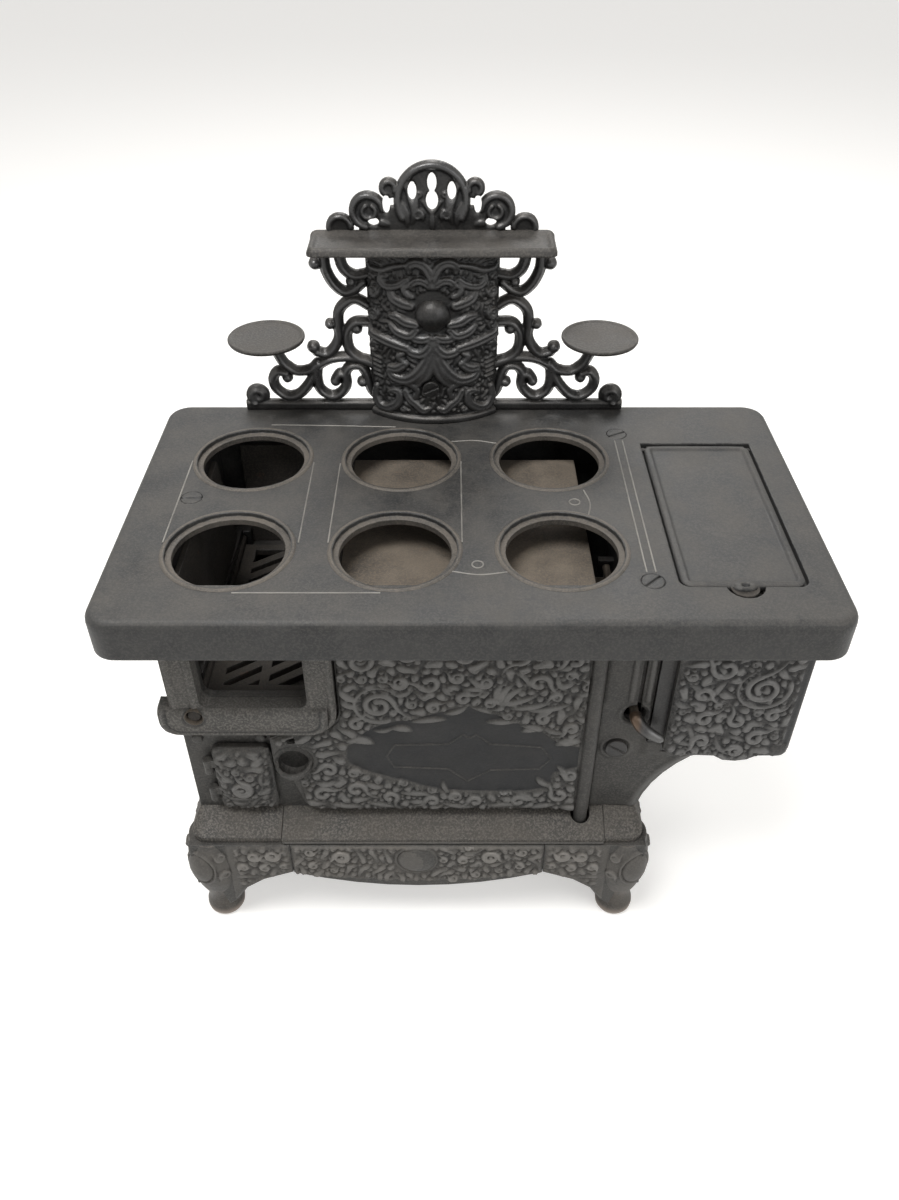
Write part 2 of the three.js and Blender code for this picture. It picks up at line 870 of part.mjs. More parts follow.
function hearthPlateShape() {
  const edgeY = front - base.skirtFront - hearth.lip;
  const slab = outline([
    [front - seat, deck - base.plate],
    [front - seat, deck],
    [edgeY, base.legHeight + base.plate],
    [edgeY, base.legHeight + seat],
    [edgeY + base.plate, base.legHeight + seat],
  ]);
  const plate = prismX(slab, left + hearth.insetLeft + seat, right - hearth.insetRight - seat);
  const slot = [
    cylinder(
      hearth.notch,
      [hinge.x, hinge.y, base.legHeight - overrun],
      [hinge.x, hinge.y, deck + overrun],
      20,
    ),
    block(
      hinge.x - hearth.notch,
      hinge.x + hearth.notch,
      hinge.y,
      front + overrun,
      base.legHeight - overrun,
      deck + overrun,
    ),
  ];
  return cut(plate, slot);
}

// Legs: a turned knee and foot, with a wing each way and a pad that bolts up under the deck
const leg = {
  insetX: 4.5,
  frontForward: 7.5,
  backInset: 4.5,
  wing: 43,
  wingWall: 4,
  outFront: 10.5,
  outSide: 9.5,
  padX: 18,
  padFrom: 12,
  padTo: 26,
  pad: 3.7,
  boltX: 9,
  boltY: 19,
};
// Radius and height up the leg, as shares of the knee's radius and of the leg's height
const kneeRadius = 13.6;
const legProfileShares = [
  [0.5, 0],
  [0.68, 0.03],
  [0.72, 0.09],
  [0.6, 0.17],
  [0.6, 0.25],
  [0.8, 0.36],
  [0.97, 0.5],
  [1, 0.66],
  [0.94, 0.84],
  [0.8, 1],
];
// The wing's lower edge, as shares of the wing's length and of the leg's height
const wingEdgeShares = [
  [0.12, 0.2],
  [0.24, 0.27],
  [0.38, 0.43],
  [0.62, 0.55],
  [1, 0.65],
];

function legPlaces() {
  const places = [];
  for (const signX of [1, -1])
    for (const signY of [1, -1]) {
      places.push({
        name: `leg_${signY > 0 ? "front" : "rear"}_${signX > 0 ? "left" : "right"}`,
        x: signX > 0 ? left + leg.insetX : right - leg.insetX,
        y: signY > 0 ? front - leg.frontForward : back - leg.backInset,
        signX,
        signY,
      });
    }
  return places;
}

function legShape(outY) {
  const top = base.legHeight - seat;
  const profile = legProfileShares.map(([r, z]) => [r * kneeRadius, z * top]);
  const knee = turned([[0, 0], ...profile, [0, top]], 14);
  const edge = wingEdgeShares.map(([u, z]) => [u * leg.wing, z * base.legHeight]);
  const wingOutline = outline([[0, top / 2], ...edge, [leg.wing, top], [0, top]]);
  const wingX = prismY(wingOutline, -outY, leg.wingWall - outY);
  const wingY = prismX(wingOutline, -leg.outSide, leg.wingWall - leg.outSide);
  const corner = block(-leg.outSide, 0, -outY, 0, top / 2, top);
  const bodyCorner = join([knee, wingX, wingY, corner]);
  const inside = block(
    leg.wingWall - leg.outSide,
    kneeRadius + overrun,
    leg.wingWall - outY,
    kneeRadius + overrun,
    top / 3,
    top + overrun,
  );
  const wall = leg.wingWall;
  const padFront = leg.padFrom - wall;
  const padTop = deck - base.plate - seat;
  const pad = join([
    block(wall / 2 - leg.outSide, leg.padX, padFront, leg.padFrom, base.legHeight - leg.padX, top),
    block(0, leg.padX, padFront, leg.padTo, padTop - leg.pad, padTop),
    block(0, leg.padX, padFront, leg.padFrom, top - wall, padTop),
  ]);
  const hole = cylinder(
    bolt + seat,
    [leg.boltX, leg.boltY, base.legHeight - leg.padX],
    [leg.boltX, leg.boltY, deck + overrun],
    10,
  );
  return cut(join([bodyCorner.subtract(inside), pad]), [hole]);
}

const legBolt = { head: 3.4, headHeight: 2.4, nut: 3.2, nutHeight: 2.2 };

// Points up from the underside of its head, with its nut on
function legBoltShape() {
  const nutFoot = leg.pad + seat + base.plate + 2 * seat;
  return join([
    cylinder(legBolt.head, [0, 0, -legBolt.headHeight], [0, 0, 0], 4),
    cylinder(bolt, [0, 0, -legBolt.headHeight / 2], [0, 0, nutFoot + legBolt.nutHeight], 10),
    cylinder(legBolt.nut, [0, 0, nutFoot], [0, 0, nutFoot + legBolt.nutHeight], 6),
  ]);
}

// Aprons hang between the legs' wings; their lower edge dips towards the middle
const apron = { endShare: 0.64, middleShare: 0.46, boss: 10.1, bossProud: 3, bossShare: 0.82 };

function apronOutline(length) {
  const half = length / 2;
  const shape = new THREE.Shape();
  shape.moveTo(-half, base.legHeight - seat);
  shape.lineTo(-half, apron.endShare * base.legHeight);
  shape.quadraticCurveTo(
    0,
    (2 * apron.middleShare - apron.endShare) * base.legHeight,
    half,
    apron.endShare * base.legHeight,
  );
  shape.lineTo(half, base.legHeight - seat);
  return shape;
}

function apronShape(length, bossed) {
  const plate = prismY(apronOutline(length), -leg.wingWall / 2, leg.wingWall / 2, 8);
  const bossCentre = [0, -leg.wingWall / 2, apron.bossShare * base.legHeight];
  const boss = ball([apron.boss, apron.bossProud, apron.boss], bossCentre, 16);
  return bossed ? plate.add(boss) : plate;
}

function placeAprons() {
  const gap = 2 * (leg.wing + seat);
  const lengthX = right - left - 2 * leg.insetX - gap;
  const frontY = front - leg.frontForward - leg.outFront + leg.wingWall / 2;
  const rearY = back - leg.backInset + leg.outSide - leg.wingWall / 2;
  const sideFrom = front - leg.frontForward;
  const sideTo = back - leg.backInset;
  const lengthY = sideTo - sideFrom - gap;
  const sideY = (sideFrom + sideTo) / 2;
  const out = leg.outSide - leg.insetX - leg.wingWall / 2;
  const middleX = (left + right) / 2;
  place("front_apron", apronShape(lengthX, true), "iron", [middleX, frontY, 0]);
  place("rear_apron", apronShape(lengthX, false), "iron", [middleX, rearY, 0]);
  const side = geometrySideways(apronShape(lengthY, false));
  place("left_apron", side, "iron", [left - out, sideY, 0]);
  place("right_apron", side, "iron", [right + out, sideY, 0]);
}

// The same solid turned a quarter about Z
function geometrySideways(whole) {
  return solid(geometryOf(whole).rotateZ(Math.PI / 2));
}

// Oven box
function partitionShape() {
  const wall = block(
    partition.x - partition.thickness,
    partition.x,
    insideFront,
    oven.back,
    wallFoot,
    oven.top,
  );
  const shelf = block(
    partition.x - partition.thickness - ledge.reach,
    partition.x - partition.thickness / 2,
    insideFront + ledge.reach,
    oven.back - ledge.reach,
    ledgeTop - ledge.height,
    ledgeTop,
  );
  return wall.add(shelf);
}

function placeOven() {
  const innerLeft = partition.x + seat;
  const roofFoot = oven.top - oven.wall;
  const sideX = oven.right - oven.wall;
  const backY = oven.back - oven.wall;
  place(
    "oven_right_side",
    block(sideX, oven.right, insideFront, backY - seat, wallFoot, roofFoot - seat),
    "iron",
  );
  place("oven_back", block(innerLeft, oven.right, backY, oven.back, wallFoot, roofFoot - seat), "iron");
  place("oven_top", block(innerLeft, oven.right, insideFront, oven.back, roofFoot, oven.top), "rustyIron");
  place(
    "oven_bottom",
    block(
      innerLeft,
      sideX - seat,
      insideFront,
      backY - seat,
      ovenOpening.bottom - oven.wall,
      ovenOpening.bottom,
    ),
    "rustyIron",
  );
}

// Firebox linings and grate
function placeLinings() {
  const wallLeft = insideLeft + seat;
  const lean = outline([
    [wallLeft + lining.lean, lining.leftFoot],
    [wallLeft + lining.lean + lining.thickness, lining.leftFoot],
    [wallLeft + lining.thickness, lining.top],
    [wallLeft, lining.top],
  ]);
  const rearY = insideBack - lining.thickness;
  place(
    "fire_lining_left",
    prismY(lean, insideFront + 2 * ledge.reach, rearY - 2 * ledge.reach),
    "iron",
  );
  const rightFace = partition.x - partition.thickness - seat;
  place(
    "fire_lining_right",
    block(
      rightFace - lining.thickness,
      rightFace,
      insideFront + 2 * ledge.reach,
      oven.back - 2 * ledge.reach,
      ledgeTop + seat,
      oven.top - seat,
    ),
    "iron",
  );
  place(
    "fire_lining_rear",
    block(
      grate.axisX + bearingHalf + seat,
      partition.x - partition.thickness - ledge.reach,
      rearY,
      insideBack,
      ledgeTop + seat,
      lining.top,
    ),
    "iron",
  );
}

function grateShape() {
  const minX = grate.axisX + grate.shaft / 2;
  const maxX = partition.x - partition.thickness - lining.thickness - 4 * seat;
  const minY = insideFront + grate.front;
  const maxY = insideBack - grate.rear;
  const foot = grate.top - grate.thickness;
  const frame = block(minX, maxX, minY, maxY, foot, grate.top);
  const inner = block(
    minX + grate.frameBar + grate.shaft,
    maxX - grate.frameBar,
    minY + grate.frameBar,
    maxY - grate.frameBar,
    foot - overrun,
    grate.top + overrun,
  );
  const middleX = (minX + maxX) / 2;
  const middleY = (minY + maxY) / 2;
  const slats = [];
  const count = Math.floor((maxY - minY) / grate.slatPitch);
  for (let i = 0; i <= count; i += 1) {
    const slat = new THREE.BoxGeometry(2 * (maxX - minX), grate.slat, grate.thickness);
    const slatY = middleY + (i - count / 2) * grate.slatPitch;
    slats.push(solid(slat.rotateZ(grate.slatTurn).translate(middleX, slatY, foot + grate.thickness / 2)));
  }
  const spine = block(
    middleX - grate.slat,
    middleX,
    minY,
    maxY,
    foot,
    grate.top,
  );
  const field = join(slats).intersect(frame);
  const shaft = cylinder(
    grate.shaft,
    [grate.axisX, front - grate.stub, grate.axisZ],
    [grate.axisX, insideBack - seat, grate.axisZ],
    12,
  );
  return join([frame.subtract(inner), field, spine, shaft]);
}

// Fire-mouth frame: posts, head and a moulded sill that wraps round the left corner
const mouthFrame = {
  right: left + fromLeft.mouthFrame,
  bottom: middleHeight - belowMiddle.mouthFrame,
  top: wallTop - belowTop.mouthFrame,
  proud: 8,
  corner: 14,
  sillTop: middleHeight + aboveMiddle.sill,
  sillProud: 10,
  sillOut: 6,
  sillRound: 4,
  pinHole: 4.65,
  catch: 4,
};
const rivet = { shank: 1.3, head: 3, headHeight: 1.8 };
const rivetHeadShares = [
  [0, 0],
  [1, 0],
  [0.8, 0.7],
  [0, 1],
];
const rivetPlaces = [
  { side: "left", x: left + fromLeft.rivetLeft, z: middleHeight - belowMiddle.rivetLeft },
  { side: "right", x: left + fromLeft.rivetRight, z: middleHeight - belowMiddle.rivetRight },
];

function mouthFrameShape() {
  const faceY = front - mouthFrame.proud;
  const outer = new THREE.Shape();
  outer.moveTo(left, mouthFrame.bottom + mouthFrame.sillRound);
  outer.lineTo(left + mouthFrame.sillRound, mouthFrame.bottom);
  outer.lineTo(mouthFrame.right - mouthFrame.corner, mouthFrame.bottom);
  outer.absarc(
    mouthFrame.right - mouthFrame.corner,
    mouthFrame.bottom + mouthFrame.corner,
    mouthFrame.corner,
    -Math.PI / 2,
    0,
  );
  outer.lineTo(mouthFrame.right, mouthFrame.top);
  outer.lineTo(left, mouthFrame.top);
  const plate = prismY(outer, faceY, front - seat);
  const sillFoot = mouthFrame.bottom + seat;
  const sill = new THREE.Shape();
  const sillFront = front - mouthFrame.sillProud;
  const round = mouthFrame.sillRound;
  sill.moveTo(front - seat, sillFoot);
  sill.lineTo(sillFront + round, sillFoot);
  sill.absarc(sillFront + round, sillFoot + round, round, 1.5 * Math.PI, Math.PI, true);
  sill.lineTo(sillFront, mouthFrame.sillTop - round);
  sill.absarc(sillFront + round, mouthFrame.sillTop - round, round, Math.PI, Math.PI / 2, true);
  sill.lineTo(front - seat, mouthFrame.sillTop);
  const face = roundedRectangle(
    left - mouthFrame.sillOut,
    mouthFrame.right - mouthFrame.catch,
    sillFoot,
    mouthFrame.sillTop + mouthFrame.corner,
    mouthFrame.corner - mouthFrame.catch,
  );
  const sillBar = prismX(sill, left - mouthFrame.sillOut, mouthFrame.right).intersect(
    prismY(face, sillFront - overrun, front + overrun),
  );
  const opening = prismY(
    roundedRectangle(mouth.left, mouth.right, mouthFrame.sillTop - seat, mouth.top, mouth.cornerRadius),
    sillFront - overrun,
    front + overrun,
  );
  const pinHole = cylinder(
    mouthFrame.pinHole,
    [grate.axisX, sillFront - overrun, grate.axisZ],
    [grate.axisX, front + overrun, grate.axisZ],
    18,
  );
  return cut(plate.add(sillBar), [opening, pinHole]);
}

function rivetShape() {
  const profile = rivetHeadShares.map(([out, up]) => [out * rivet.head, up * rivet.headHeight]);
  const head = turned(profile, 12);
  return head.add(cylinder(rivet.shank, [0, 0, -body.wall], [0, 0, rivet.headHeight / 2], 8));
}

// Ash door: a domed panel on two knuckles, each with a pin that drops into a lug of the front frame
const knuckleShares = [0.742, 0.284];
const ashDoor = {
  left: left + fromLeft.ashDoorLeft,
  right: left + fromLeft.ashDoorRight,
  bottom: wallFoot + aboveFoot.ashDoor,
  top: middleHeight - belowMiddle.ashDoor,
  thickness: 3,
  dome: 3.5,
  corner: 5,
  knuckleRadius: 2.4,
  knuckleHeight: 5,
  lugHeight: 4,
  pin: 1.1,
};
const knuckleHeights = knuckleShares.map((share) => ashDoor.bottom + share * (ashDoor.top - ashDoor.bottom));
const ashHingeForward = 3.2;
const ashHinge = { x: left + fromLeft.ashHinge, y: front - ashHingeForward };

function ashDoorShape() {
  const rearY = front - 2 * seat;
  const plate = prismY(
    roundedRectangle(ashDoor.left, ashDoor.right, ashDoor.bottom, ashDoor.top, ashDoor.corner),
    rearY - ashDoor.thickness,
    rearY,
  );
  const middle = [
    (ashDoor.left + ashDoor.right) / 2,
    rearY - ashDoor.thickness,
    (ashDoor.bottom + ashDoor.top) / 2,
  ];
  const margin = ashDoor.thickness / 2;
  const dome = ball(
    [
      (ashDoor.right - ashDoor.left) / 2 - margin,
      ashDoor.dome,
      (ashDoor.top - ashDoor.bottom) / 2 - margin,
    ],
    middle,
    14,
  );
  const knuckles = knuckleHeights.flatMap((z) => {
    const half = ashDoor.knuckleHeight / 2;
    return [
      cylinder(
        ashDoor.knuckleRadius,
        [ashHinge.x, ashHinge.y, z - half],
        [ashHinge.x, ashHinge.y, z + half],
        12,
      ),
      block(ashHinge.x, ashDoor.left + margin, ashHinge.y - margin, ashHinge.y, z - half, z + half),
      cylinder(
        ashDoor.pin,
        [ashHinge.x, ashHinge.y, z - half - seat - ashDoor.lugHeight],
        [ashHinge.x, ashHinge.y, z],
        8,
      ),
    ];
  });
  const behind = block(
    ashDoor.left - overrun,
    ashDoor.right + overrun,
    rearY,
    rearY + 2 * ashDoor.dome,
    ashDoor.bottom,
    ashDoor.top,
  );
  return cut(join([plate, dome, ...knuckles]), [behind]);
}

// Oven door: hung on a bead along its right edge, with a lobe and a finger cup at its left
const ovenDoor = {
  left: left + fromLeft.doorLeft,
  lowerLeft: left + fromLeft.doorLowerLeft,
  right: right - fromRight.door,
  bottom: wallFoot + aboveFoot.door,
  thickness: 4.6,
  behind: 0.6,
  beadRadius: 3.8,
  pin: 2,
  foot: 3.6,
  corner: 9,
  lobe: 10,
  lobeX: left + fromLeft.doorLobe,
  cup: 9.5,
  cupWall: 1.8,
  cupZ: middleHeight - belowMiddle.doorCup,
  cupTilt: 0.12,
  hole: 2.2,
  holeZ: middleHeight - belowMiddle.doorHole,
};
const doorTop = wallTop - belowTop.door;
const doorLug = { width: 10, above: 0.6, height: 3.5 };
const hinge = { x: ovenDoor.right - ovenDoor.beadRadius, y: front - seat - ovenDoor.beadRadius };

function ovenDoorOutline() {
  const gap = ovenDoor.left - mouthFrame.right;
  const centreX = mouthFrame.right - mouthFrame.corner;
  const centreZ = mouthFrame.bottom + mouthFrame.corner;
  const radius = mouthFrame.corner + gap;
  const shape = new THREE.Shape();
  shape.moveTo(hinge.x, ovenDoor.bottom);
  shape.lineTo(hinge.x, doorTop);
  shape.lineTo(ovenDoor.left, doorTop);
  shape.lineTo(ovenDoor.left, centreZ);
  shape.absarc(centreX, centreZ, radius, 0, -Math.PI / 2, true);
  shape.lineTo(ovenDoor.lobeX, centreZ - radius);
  shape.lineTo(ovenDoor.lobeX - ovenDoor.lobe, centreZ - radius - ovenDoor.lobe / 2);
  shape.lineTo(ovenDoor.lobeX - ovenDoor.lobe, ovenDoor.cupZ);
  shape.absarc(ovenDoor.lobeX, ovenDoor.cupZ, ovenDoor.lobe, Math.PI, 1.4 * Math.PI);
  shape.lineTo(ovenDoor.lowerLeft, ovenDoor.bottom + ovenDoor.corner);
  shape.absarc(
    ovenDoor.lowerLeft + ovenDoor.corner,
    ovenDoor.bottom + ovenDoor.corner,
    ovenDoor.corner,
    Math.PI,
    1.5 * Math.PI,
  );
  return shape;
}

// The door's main scrolls, from its hinge to its lobe and from its foot up
const doorScrollShares = [
  [0.699, 0.632, 0.072, 0.03, 1.25],
  [0.533, 0.753, 0.052, 0.6, 0.8],
  [0.423, 0.67, 0.039, 0.15, 0.8],
  [0.187, 0.751, 0.052, 0, 0.8],
  [0.08, 0.862, 0.045, 0.5, -0.8],
  [0.252, 0.895, 0.053, 0.75, 0.8],
  [0.427, 0.891, 0.055, 0.25, -0.8],
  [0.595, 0.903, 0.05, 0.5, 0.8],
  [0.749, 0.862, 0.057, 0, -0.8],
  [0.771, 0.53, 0.039, 0.25, 0.8],
  [0.163, 0.559, 0.037, 0.25, 0.8],
  [0.068, 0.502, 0.037, 0.55, -0.8],
  [0.882, 0.259, 0.047, 0.45, -0.8],
  [0.911, 0.109, 0.047, 0.15, 0.8],
  [0.794, 0.138, 0.05, 0, 0.8],
  [0.677, 0.089, 0.042, 0.9, 0.8],
  [0.53, 0.066, 0.039, 0.5, -0.8],
  [0.379, 0.064, 0.039, 0.5, -0.8],
  [0.228, 0.066, 0.039, 0.1, 0.8],
  [0.087, 0.105, 0.047, 0.45, 0.8],
];

function ovenDoorShape() {
  const rearY = front - ovenDoor.behind;
  const frontY = rearY - ovenDoor.thickness;
  const plate = prismY(ovenDoorOutline(), frontY, rearY);
  const beadBar = cylinder(
    ovenDoor.beadRadius,
    [hinge.x, hinge.y, ovenDoor.bottom],
    [hinge.x, hinge.y, doorTop],
    16,
  );
  const pins = [
    cylinder(
      ovenDoor.pin,
      [hinge.x, hinge.y, doorTop - overrun],
      [hinge.x, hinge.y, doorTop + doorLug.above + doorLug.height],
      12,
    ),
    cylinder(
      ovenDoor.foot,
      [hinge.x, hinge.y, base.legHeight + seat],
      [hinge.x, hinge.y, ovenDoor.bottom + overrun],
      16,
    ),
  ];
  const cupCentre = [ovenDoor.lobeX, frontY, ovenDoor.cupZ];
  const outer = ball([ovenDoor.cup, ovenDoor.cup, ovenDoor.cup], cupCentre, 14);
  const innerRadius = ovenDoor.cup - ovenDoor.cupWall;
  const inner = ball([innerRadius, innerRadius, innerRadius], cupCentre, 14);
  const upper = new THREE.BoxGeometry(4 * ovenDoor.cup, 4 * ovenDoor.cup, 4 * ovenDoor.cup);
  upper.translate(0, 0, 2 * ovenDoor.cup);
  upper.rotateX(ovenDoor.cupTilt).translate(...cupCentre);
  const behind = block(
    ovenDoor.lobeX - 2 * ovenDoor.cup,
    ovenDoor.lobeX + 2 * ovenDoor.cup,
    rearY - ovenDoor.thickness / 2,
    rearY + 2 * ovenDoor.cup,
    ovenDoor.cupZ - 2 * ovenDoor.cup,
    ovenDoor.cupZ + 2 * ovenDoor.cup,
  );
  const cup = cut(outer, [solid(upper), behind]);
  const hole = cylinder(
    ovenDoor.hole,
    [ovenDoor.lobeX, frontY - overrun, ovenDoor.holeZ],
    [ovenDoor.lobeX, rearY + overrun, ovenDoor.holeZ],
    12,
  );
  const scoop = inner.subtract(
    block(
      ovenDoor.lobeX - ovenDoor.cup,
      ovenDoor.lobeX + ovenDoor.cup,
      frontY + ovenDoor.thickness / 2,
      rearY + ovenDoor.cup,
      ovenDoor.cupZ - ovenDoor.cup,
      ovenDoor.cupZ + ovenDoor.cup,
    ),
  );
  const scrolls = scrollBars(
    doorScrollShares,
    hinge.x,
    ovenDoor.lobeX - hinge.x,
    ovenDoor.bottom,
    doorTop - ovenDoor.bottom,
    frontY,
  );
  return cut(join([plate, beadBar, ...pins, cup, ...scrolls]), [scoop, hole]);
}

// Damper: a blade on a shaft in the flue, turned by a curved lever in front of the column
const lever = { length: 15.2, width: 3.2, thickness: 2.4, gap: 1.2, droop: -0.84, sweep: 0.35 };
const leverShares = [0, 0.35, 0.7, 1];

function damperShaftShape() {
  const shaft = cylinder(
    damper.radius,
    [damper.x, front - lever.gap, damper.z],
    [damper.x, damper.rearY + damper.lug + overrun, damper.z],
    12,
  );
  const blade = block(
    damper.x - damper.blade,
    damper.x,
    -damper.bladeLength / 2,
    damper.bladeLength / 2,
    damper.z - damper.bladeThickness / 2,
    damper.z + damper.bladeThickness / 2,
  );
  return shaft.add(blade);
}

function damperLeverShape() {
  const rearY = front - lever.gap - seat;
  const faceY = rearY - lever.thickness;
  const points = leverShares.map((share) => {
    const turn = lever.droop + lever.sweep * (share - 1 / 2);
    return [
      damper.x + share * lever.length * Math.cos(turn),
      faceY - share * lever.thickness,
      damper.z + share * lever.length * Math.sin(turn),
    ];
  });
  const arm = bar(points, lever.width, 6, 8);
  const tip = ball([lever.width, lever.width, lever.width], points[points.length - 1], 8);
  const hub = cylinder(
    lever.width + damper.radius / 2,
    [damper.x, faceY - lever.thickness / 2, damper.z],
    [damper.x, rearY, damper.z],
    14,
  );
  const behind = block(
    damper.x - lever.length,
    damper.x + 2 * lever.length,
    rearY,
    front + lever.length,
    damper.z - 2 * lever.length,
    damper.z + lever.length,
  );
  return cut(join([arm, tip, hub]), [behind]);
}

// Reservoir: an ornamented front on a casing, with a loose tank inside
const reservoirInset = { right: 5.5, panelLeft: 7.5 };
const reservoir = {
  bottom: reservoirFoot,
  right: cooktop.width / 2 - reservoirInset.right,
  back: back - fromBack.reservoir,
  wall: 2.5,
  proud: 1.7,
  panelLeft: right + reservoirInset.panelLeft,
  panelFoot: middleHeight - belowMiddle.reservoirPanel,
  panel: 3.2,
  panelReturn: 5,
  dip: 7,
  tankGap: 0.8,
  tankWall: 1.5,
  tankBelow: 4,
};
// The front's scalloped lower edge, as shares of its width and of the dip
const scallopShares = [
  [0, -0.15],
  [0.12, 0.35],
  [0.3, 0.4],
  [0.42, 0.45],
  [0.5, 0.9],
  [0.6, 1],
  [0.7, 0.85],
  [0.77, 0.2],
  [0.86, -0.2],
  [1, -0.35],
];
// The front's main scrolls, from its left edge to the right and from the casing's foot up
const reservoirScrollShares = [
  [0.669, 0.471, 0.097, 0.3, 1.3],
  [0.344, 0.602, 0.073, 0.5, 0.8],
  [0.213, 0.433, 0.056, 0, 0.8],
  [0.27, 0.275, 0.054, 0.2, 0.8],
  [0.525, 0.265, 0.054, 0.4, 0.8],
  [0.279, 0.121, 0.056, 0.55, -0.8],
  [0.705, 0.141, 0.057, 0.2, 0.8],
  [0.792, 0.299, 0.048, 0.2, 0.8],
  [0.197, 0.76, 0.054, 0.25, -0.8],
  [0.508, 0.765, 0.056, 0.75, 0.8],
  [0.811, 0.73, 0.061, 0.1, 0.8],
];

function casingShape() {
  const minX = right + seat;
  const frontY = front - reservoir.proud;
  const outer = block(minX, reservoir.right, frontY, reservoir.back, reservoir.bottom, wallTop);
  const inner = block(
    minX + reservoir.wall,
    reservoir.right - reservoir.wall,
    frontY + reservoir.wall,
    reservoir.back - reservoir.wall,
    reservoir.bottom + reservoir.wall,
    wallTop + overrun,
  );
  return outer.subtract(inner);
}

function tankShape() {
  const gap = reservoir.wall + reservoir.tankGap;
  const minX = right + seat + gap;
  const maxX = reservoir.right - gap;
  const minY = front - reservoir.proud + gap;
  const maxY = reservoir.back - gap;
  const foot = reservoir.bottom + reservoir.wall + seat;
  const rim = underside - reservoir.tankBelow;
  const wall = reservoir.tankWall;
  const outer = block(minX, maxX, minY, maxY, foot, rim);
  return outer.subtract(
    block(minX + wall, maxX - wall, minY + wall, maxY - wall, foot + wall, rim + overrun),
  );
}

function reservoirFrontShape() {
  const rearY = front - reservoir.proud - seat;
  const width = reservoir.right - reservoir.panelLeft;
  const edge = scallopShares.map(([u, dip]) => [
    reservoir.panelLeft + u * width,
    reservoir.panelFoot - dip * reservoir.dip,
  ]);
  const face = outline([
    ...edge,
    [reservoir.right, wallTop],
    [reservoir.panelLeft, wallTop],
  ]);
  const frontY = rearY - reservoir.panel;
  const scrolls = scrollBars(
    reservoirScrollShares,
    reservoir.panelLeft,
    width,
    reservoir.bottom,
    wallTop - reservoir.bottom,
    frontY,
  );
  return join([prismY(face, frontY, rearY), ...scrolls]);
}

// High back: rail, bowed panel and open scroll wings
const highBackOffset = { rightward: 8.5, rearward: 4 };
const highBack = {
  middleX: (left + right) / 2 + highBackOffset.rightward,
  halfLength: 102,
  railFront: back + highBackOffset.rearward,
  rail: 5,
  railHeight: 5.4,
  panelHalf: 32.5,
  bow: 12,
  panelWall: 3.5,
  lip: 2.2,
  lipHeight: 3.4,
  stile: 3,
  ballRadius: 11,
  ballForward: 8,
  ballShare: 0.62,
  barRadius: 2.7,
  knob: 3,
  hump: 6.5,
};
const shelfReach = { rise: 96.5, forward: 23, rearward: 4.5 };
const shelf = {
  top: cooktop.height + shelfReach.rise,
  thickness: 3,
  half: 59,
  front: highBack.railFront - shelfReach.forward,
  back: highBack.railFront + shelfReach.rearward,
  corner: 4,
  lip: 1,
  lipWidth: 1.6,
};
const backScrewOffset = { leftward: 1.3, rise: 20.3 };
const backScrew = {
  x: highBack.middleX - backScrewOffset.leftward,
  z: cooktop.height + backScrewOffset.rise,
  length: 12,
};
const panelTop = shelf.top - shelf.thickness - seat;
const wingAbove = 8.8; // how far the wings' full height reaches past the panel's top
const wingHeight = panelTop - cooktop.height + wingAbove;
const tabFront = highBack.railFront - highBack.bow + highBack.panelWall + backTab.behindPanel;

// Centre lines of a wing's bars, as shares of the rail's half length out, and of the wing's height up
const wingBarShares = [
  [
    [0.52, 0.905], [0.525, 0.79], [0.51, 0.73], [0.48, 0.68], [0.44, 0.65], [0.39, 0.66],
    [0.34, 0.7],
  ],
  [[0.45, 0.905], [0.45, 0.82], [0.43, 0.76], [0.38, 0.73], [0.31, 0.74]],
  [
    [0.31, 0.57], [0.38, 0.61], [0.43, 0.595], [0.47, 0.55], [0.48, 0.48], [0.48, 0.41],
    [0.51, 0.35], [0.55, 0.32], [0.6, 0.33],
  ],
  [[0.31, 0.49], [0.39, 0.49], [0.43, 0.45], [0.44, 0.4], [0.43, 0.34], [0.39, 0.3], [0.31, 0.26]],
  [
    [0.29, 0.26], [0.35, 0.285], [0.44, 0.3], [0.53, 0.29], [0.6, 0.25], [0.63, 0.19],
    [0.67, 0.13], [0.72, 0.085], [0.78, 0.08], [0.83, 0.12], [0.84, 0.18], [0.81, 0.22],
    [0.77, 0.21],
  ],
  [
    [0.6, 0.26], [0.61, 0.19], [0.6, 0.12], [0.55, 0.08], [0.5, 0.09], [0.46, 0.14],
    [0.46, 0.21], [0.43, 0.25], [0.38, 0.25], [0.35, 0.2], [0.33, 0.12], [0.3, 0.08],
  ],
  [[0.46, 0.2], [0.49, 0.205], [0.515, 0.17]],
  [[0.825, 0.38], [0.79, 0.29], [0.76, 0.25], [0.71, 0.22], [0.64, 0.23], [0.6, 0.265]],
];
// Knobs on the bars and the curls' ends: out from the middle, up, and size against the named knob
const wingKnobShares = [
  [0.57, 0.79, 1.05],
  [0.4, 0.7, 0.9],
  [0.52, 0.48, 0.9],
  [0.387, 0.455, 0.95],
  [0.615, 0.355, 1.1],
  [0.515, 0.165, 0.95],
  [0.375, 0.16, 0.95],
  [0.765, 0.185, 0.95],
  [0.82, 0.36, 1],
];

function bowedSheet(bow, half, wall, minZ, maxZ) {
  const radius = (half * half + bow * bow) / (2 * bow);
  const centreY = highBack.railFront - bow + radius;
  const turn = Math.asin(half / radius);
  const shape = new THREE.Shape();
  shape.absarc(highBack.middleX, centreY, radius, 1.5 * Math.PI - turn, 1.5 * Math.PI + turn);
  shape.absarc(highBack.middleX, centreY, radius - wall, 1.5 * Math.PI + turn, 1.5 * Math.PI - turn, true);
  return prismZ(shape, minZ, maxZ, 12);
}

